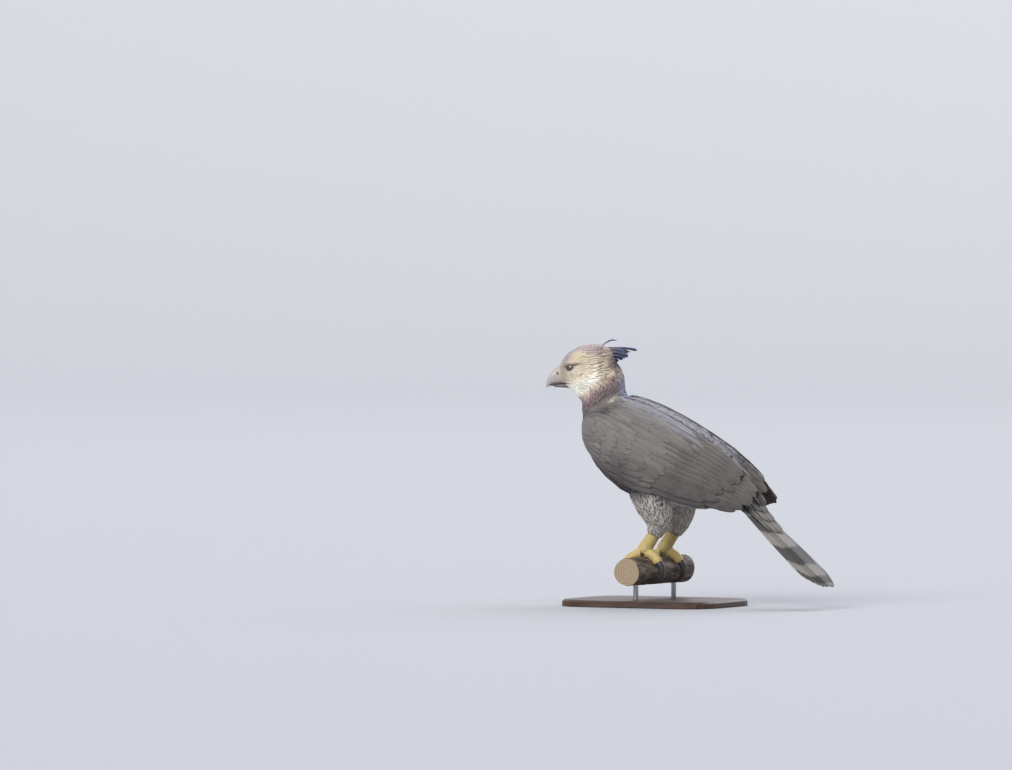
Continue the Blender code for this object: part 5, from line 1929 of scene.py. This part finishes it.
def add_sun(name, way, angle, strength, colour):
    """A broad, even light that comes from the given way."""
    data = bpy.data.lights.new(name, "SUN")
    data.angle = math.radians(angle)
    data.energy = strength
    data.color = colour
    light = bpy.data.objects.new(name, data)
    bpy.context.scene.collection.objects.link(light)
    light.rotation_euler = Vector(way).to_track_quat("Z", "Y").to_euler()


def make_stage(sizes):
    """A pale floor that rises far out all round, soft lights, a pale sky and the camera."""
    deselect()
    bpy.ops.mesh.primitive_circle_add(vertices=96, radius=sizes.floor, fill_type="TRIFAN")
    floor = bpy.context.object
    rim = [edge.index for edge in floor.data.edges
           if all(Vector(floor.data.vertices[v].co).length > sizes.floor * 0.9 for v in edge.vertices)]
    bpy.ops.object.mode_set(mode="EDIT")
    bpy.ops.mesh.select_mode(type="EDGE")
    bpy.ops.mesh.select_all(action="DESELECT")
    bpy.ops.object.mode_set(mode="OBJECT")
    for index in rim:
        floor.data.edges[index].select = True
    bpy.ops.object.mode_set(mode="EDIT")
    reach, height = sizes.floor, 0.0
    for step in range(1, FLOOR_STEPS + 1):
        turn = math.pi / 2 * step / FLOOR_STEPS
        wider = sizes.floor + FLOOR_CURVE * math.sin(turn)
        higher = FLOOR_CURVE * (1 - math.cos(turn))
        bpy.ops.mesh.extrude_edges_move(TRANSFORM_OT_translate={"value": (0, 0, higher - height)})
        bpy.ops.transform.resize(value=(wider / reach, wider / reach, 1), center_override=(0, 0, 0))
        reach, height = wider, higher
    bpy.ops.object.mode_set(mode="OBJECT")
    floor.name = floor.data.name = "floor"
    smooth_faces(floor)
    floor.data.materials.append(Finish("pale_floor").done({
        "Base Color": (*linear(168, 170, 177), 1), "Roughness": 0.9}))

    azimuth, elevation = sizes.azimuth, sizes.elevation
    back = Vector((math.sin(azimuth) * math.cos(elevation),
                   -math.cos(azimuth) * math.cos(elevation), math.sin(elevation)))
    right = Vector((math.cos(azimuth), math.sin(azimuth), 0))
    above = Vector((0, 0, 1))
    add_sun("key", back * 0.77 - right * 0.50 + above * 0.38, 50, 3.9, (1.0, 0.985, 0.955))
    add_sun("fill", back * 0.8 - right * 0.6 + above * 0.05, 60, 2.25, (1.0, 0.99, 0.965))
    add_sun("rim", right * 0.45 - back * 0.65 + above * 0.75, 60, 1.9, (0.90, 0.92, 1.0))

    world = bpy.data.worlds.new("sky")
    world.use_nodes = True
    background = world.node_tree.nodes["Background"]
    background.inputs["Color"].default_value = (*linear(228, 228, 228), 1)
    background.inputs["Strength"].default_value = 0.95
    bpy.context.scene.world = world

    data = bpy.data.cameras.new("camera")
    data.lens = sizes.lens
    data.sensor_width = 36
    data.clip_end = 200
    camera = bpy.data.objects.new("camera", data)
    bpy.context.scene.collection.objects.link(camera)
    distance = sizes.width * sizes.lens / data.sensor_width
    camera.location = Vector(CAMERA_TARGET) + back * distance
    camera.rotation_euler = back.to_track_quat("Z", "Y").to_euler()
    bpy.context.scene.camera = camera
    bpy.context.scene.view_settings.view_transform = "Standard"


class EAGLE_PT_looks(bpy.types.Panel):
    """Lists the operators in the 3D view's sidebar"""

    bl_label = "Harpy Eagle"
    bl_idname = "EAGLE_PT_looks"
    bl_space_type = "VIEW_3D"
    bl_region_type = "UI"
    bl_category = "Eagle"

    def draw(self, context):
        layout = self.layout
        for operator in OPERATORS:
            layout.operator(operator.bl_idname)
        for name in ("cere", "horn", "iris", "leg", "tail_bars"):
            layout.prop(context.scene.eagle_colours, name)
        for name in ("lens", "width", "azimuth", "elevation", "floor"):
            layout.prop(context.scene.eagle_stage, name)


OPERATORS = (
    EAGLE_OT_skin, EAGLE_OT_bill, EAGLE_OT_eyes, EAGLE_OT_coat, EAGLE_OT_wings, EAGLE_OT_tail,
    EAGLE_OT_crest, EAGLE_OT_feet, EAGLE_OT_branch, EAGLE_OT_stand, EAGLE_OT_stage,
)
CLASSES = (CoatColours, StageSizes, *OPERATORS, EAGLE_PT_looks)


def register():
    for each in CLASSES:
        bpy.utils.register_class(each)
    bpy.types.Scene.eagle_colours = bpy.props.PointerProperty(type=CoatColours)
    bpy.types.Scene.eagle_stage = bpy.props.PointerProperty(type=StageSizes)


def unregister():
    del bpy.types.Scene.eagle_stage
    del bpy.types.Scene.eagle_colours
    for each in reversed(CLASSES):
        bpy.utils.unregister_class(each)


def main():
    register()
    bpy.ops.eagle.skin()
    bpy.ops.eagle.bill()
    bpy.ops.eagle.eyes()
    bpy.ops.eagle.coat()
    bpy.ops.eagle.wings()
    bpy.ops.eagle.tail()
    bpy.ops.eagle.crest()
    bpy.ops.eagle.feet()
    bpy.ops.eagle.branch()
    bpy.ops.eagle.stand()
    bpy.ops.eagle.stage()


if __name__ == "__main__":
    main()
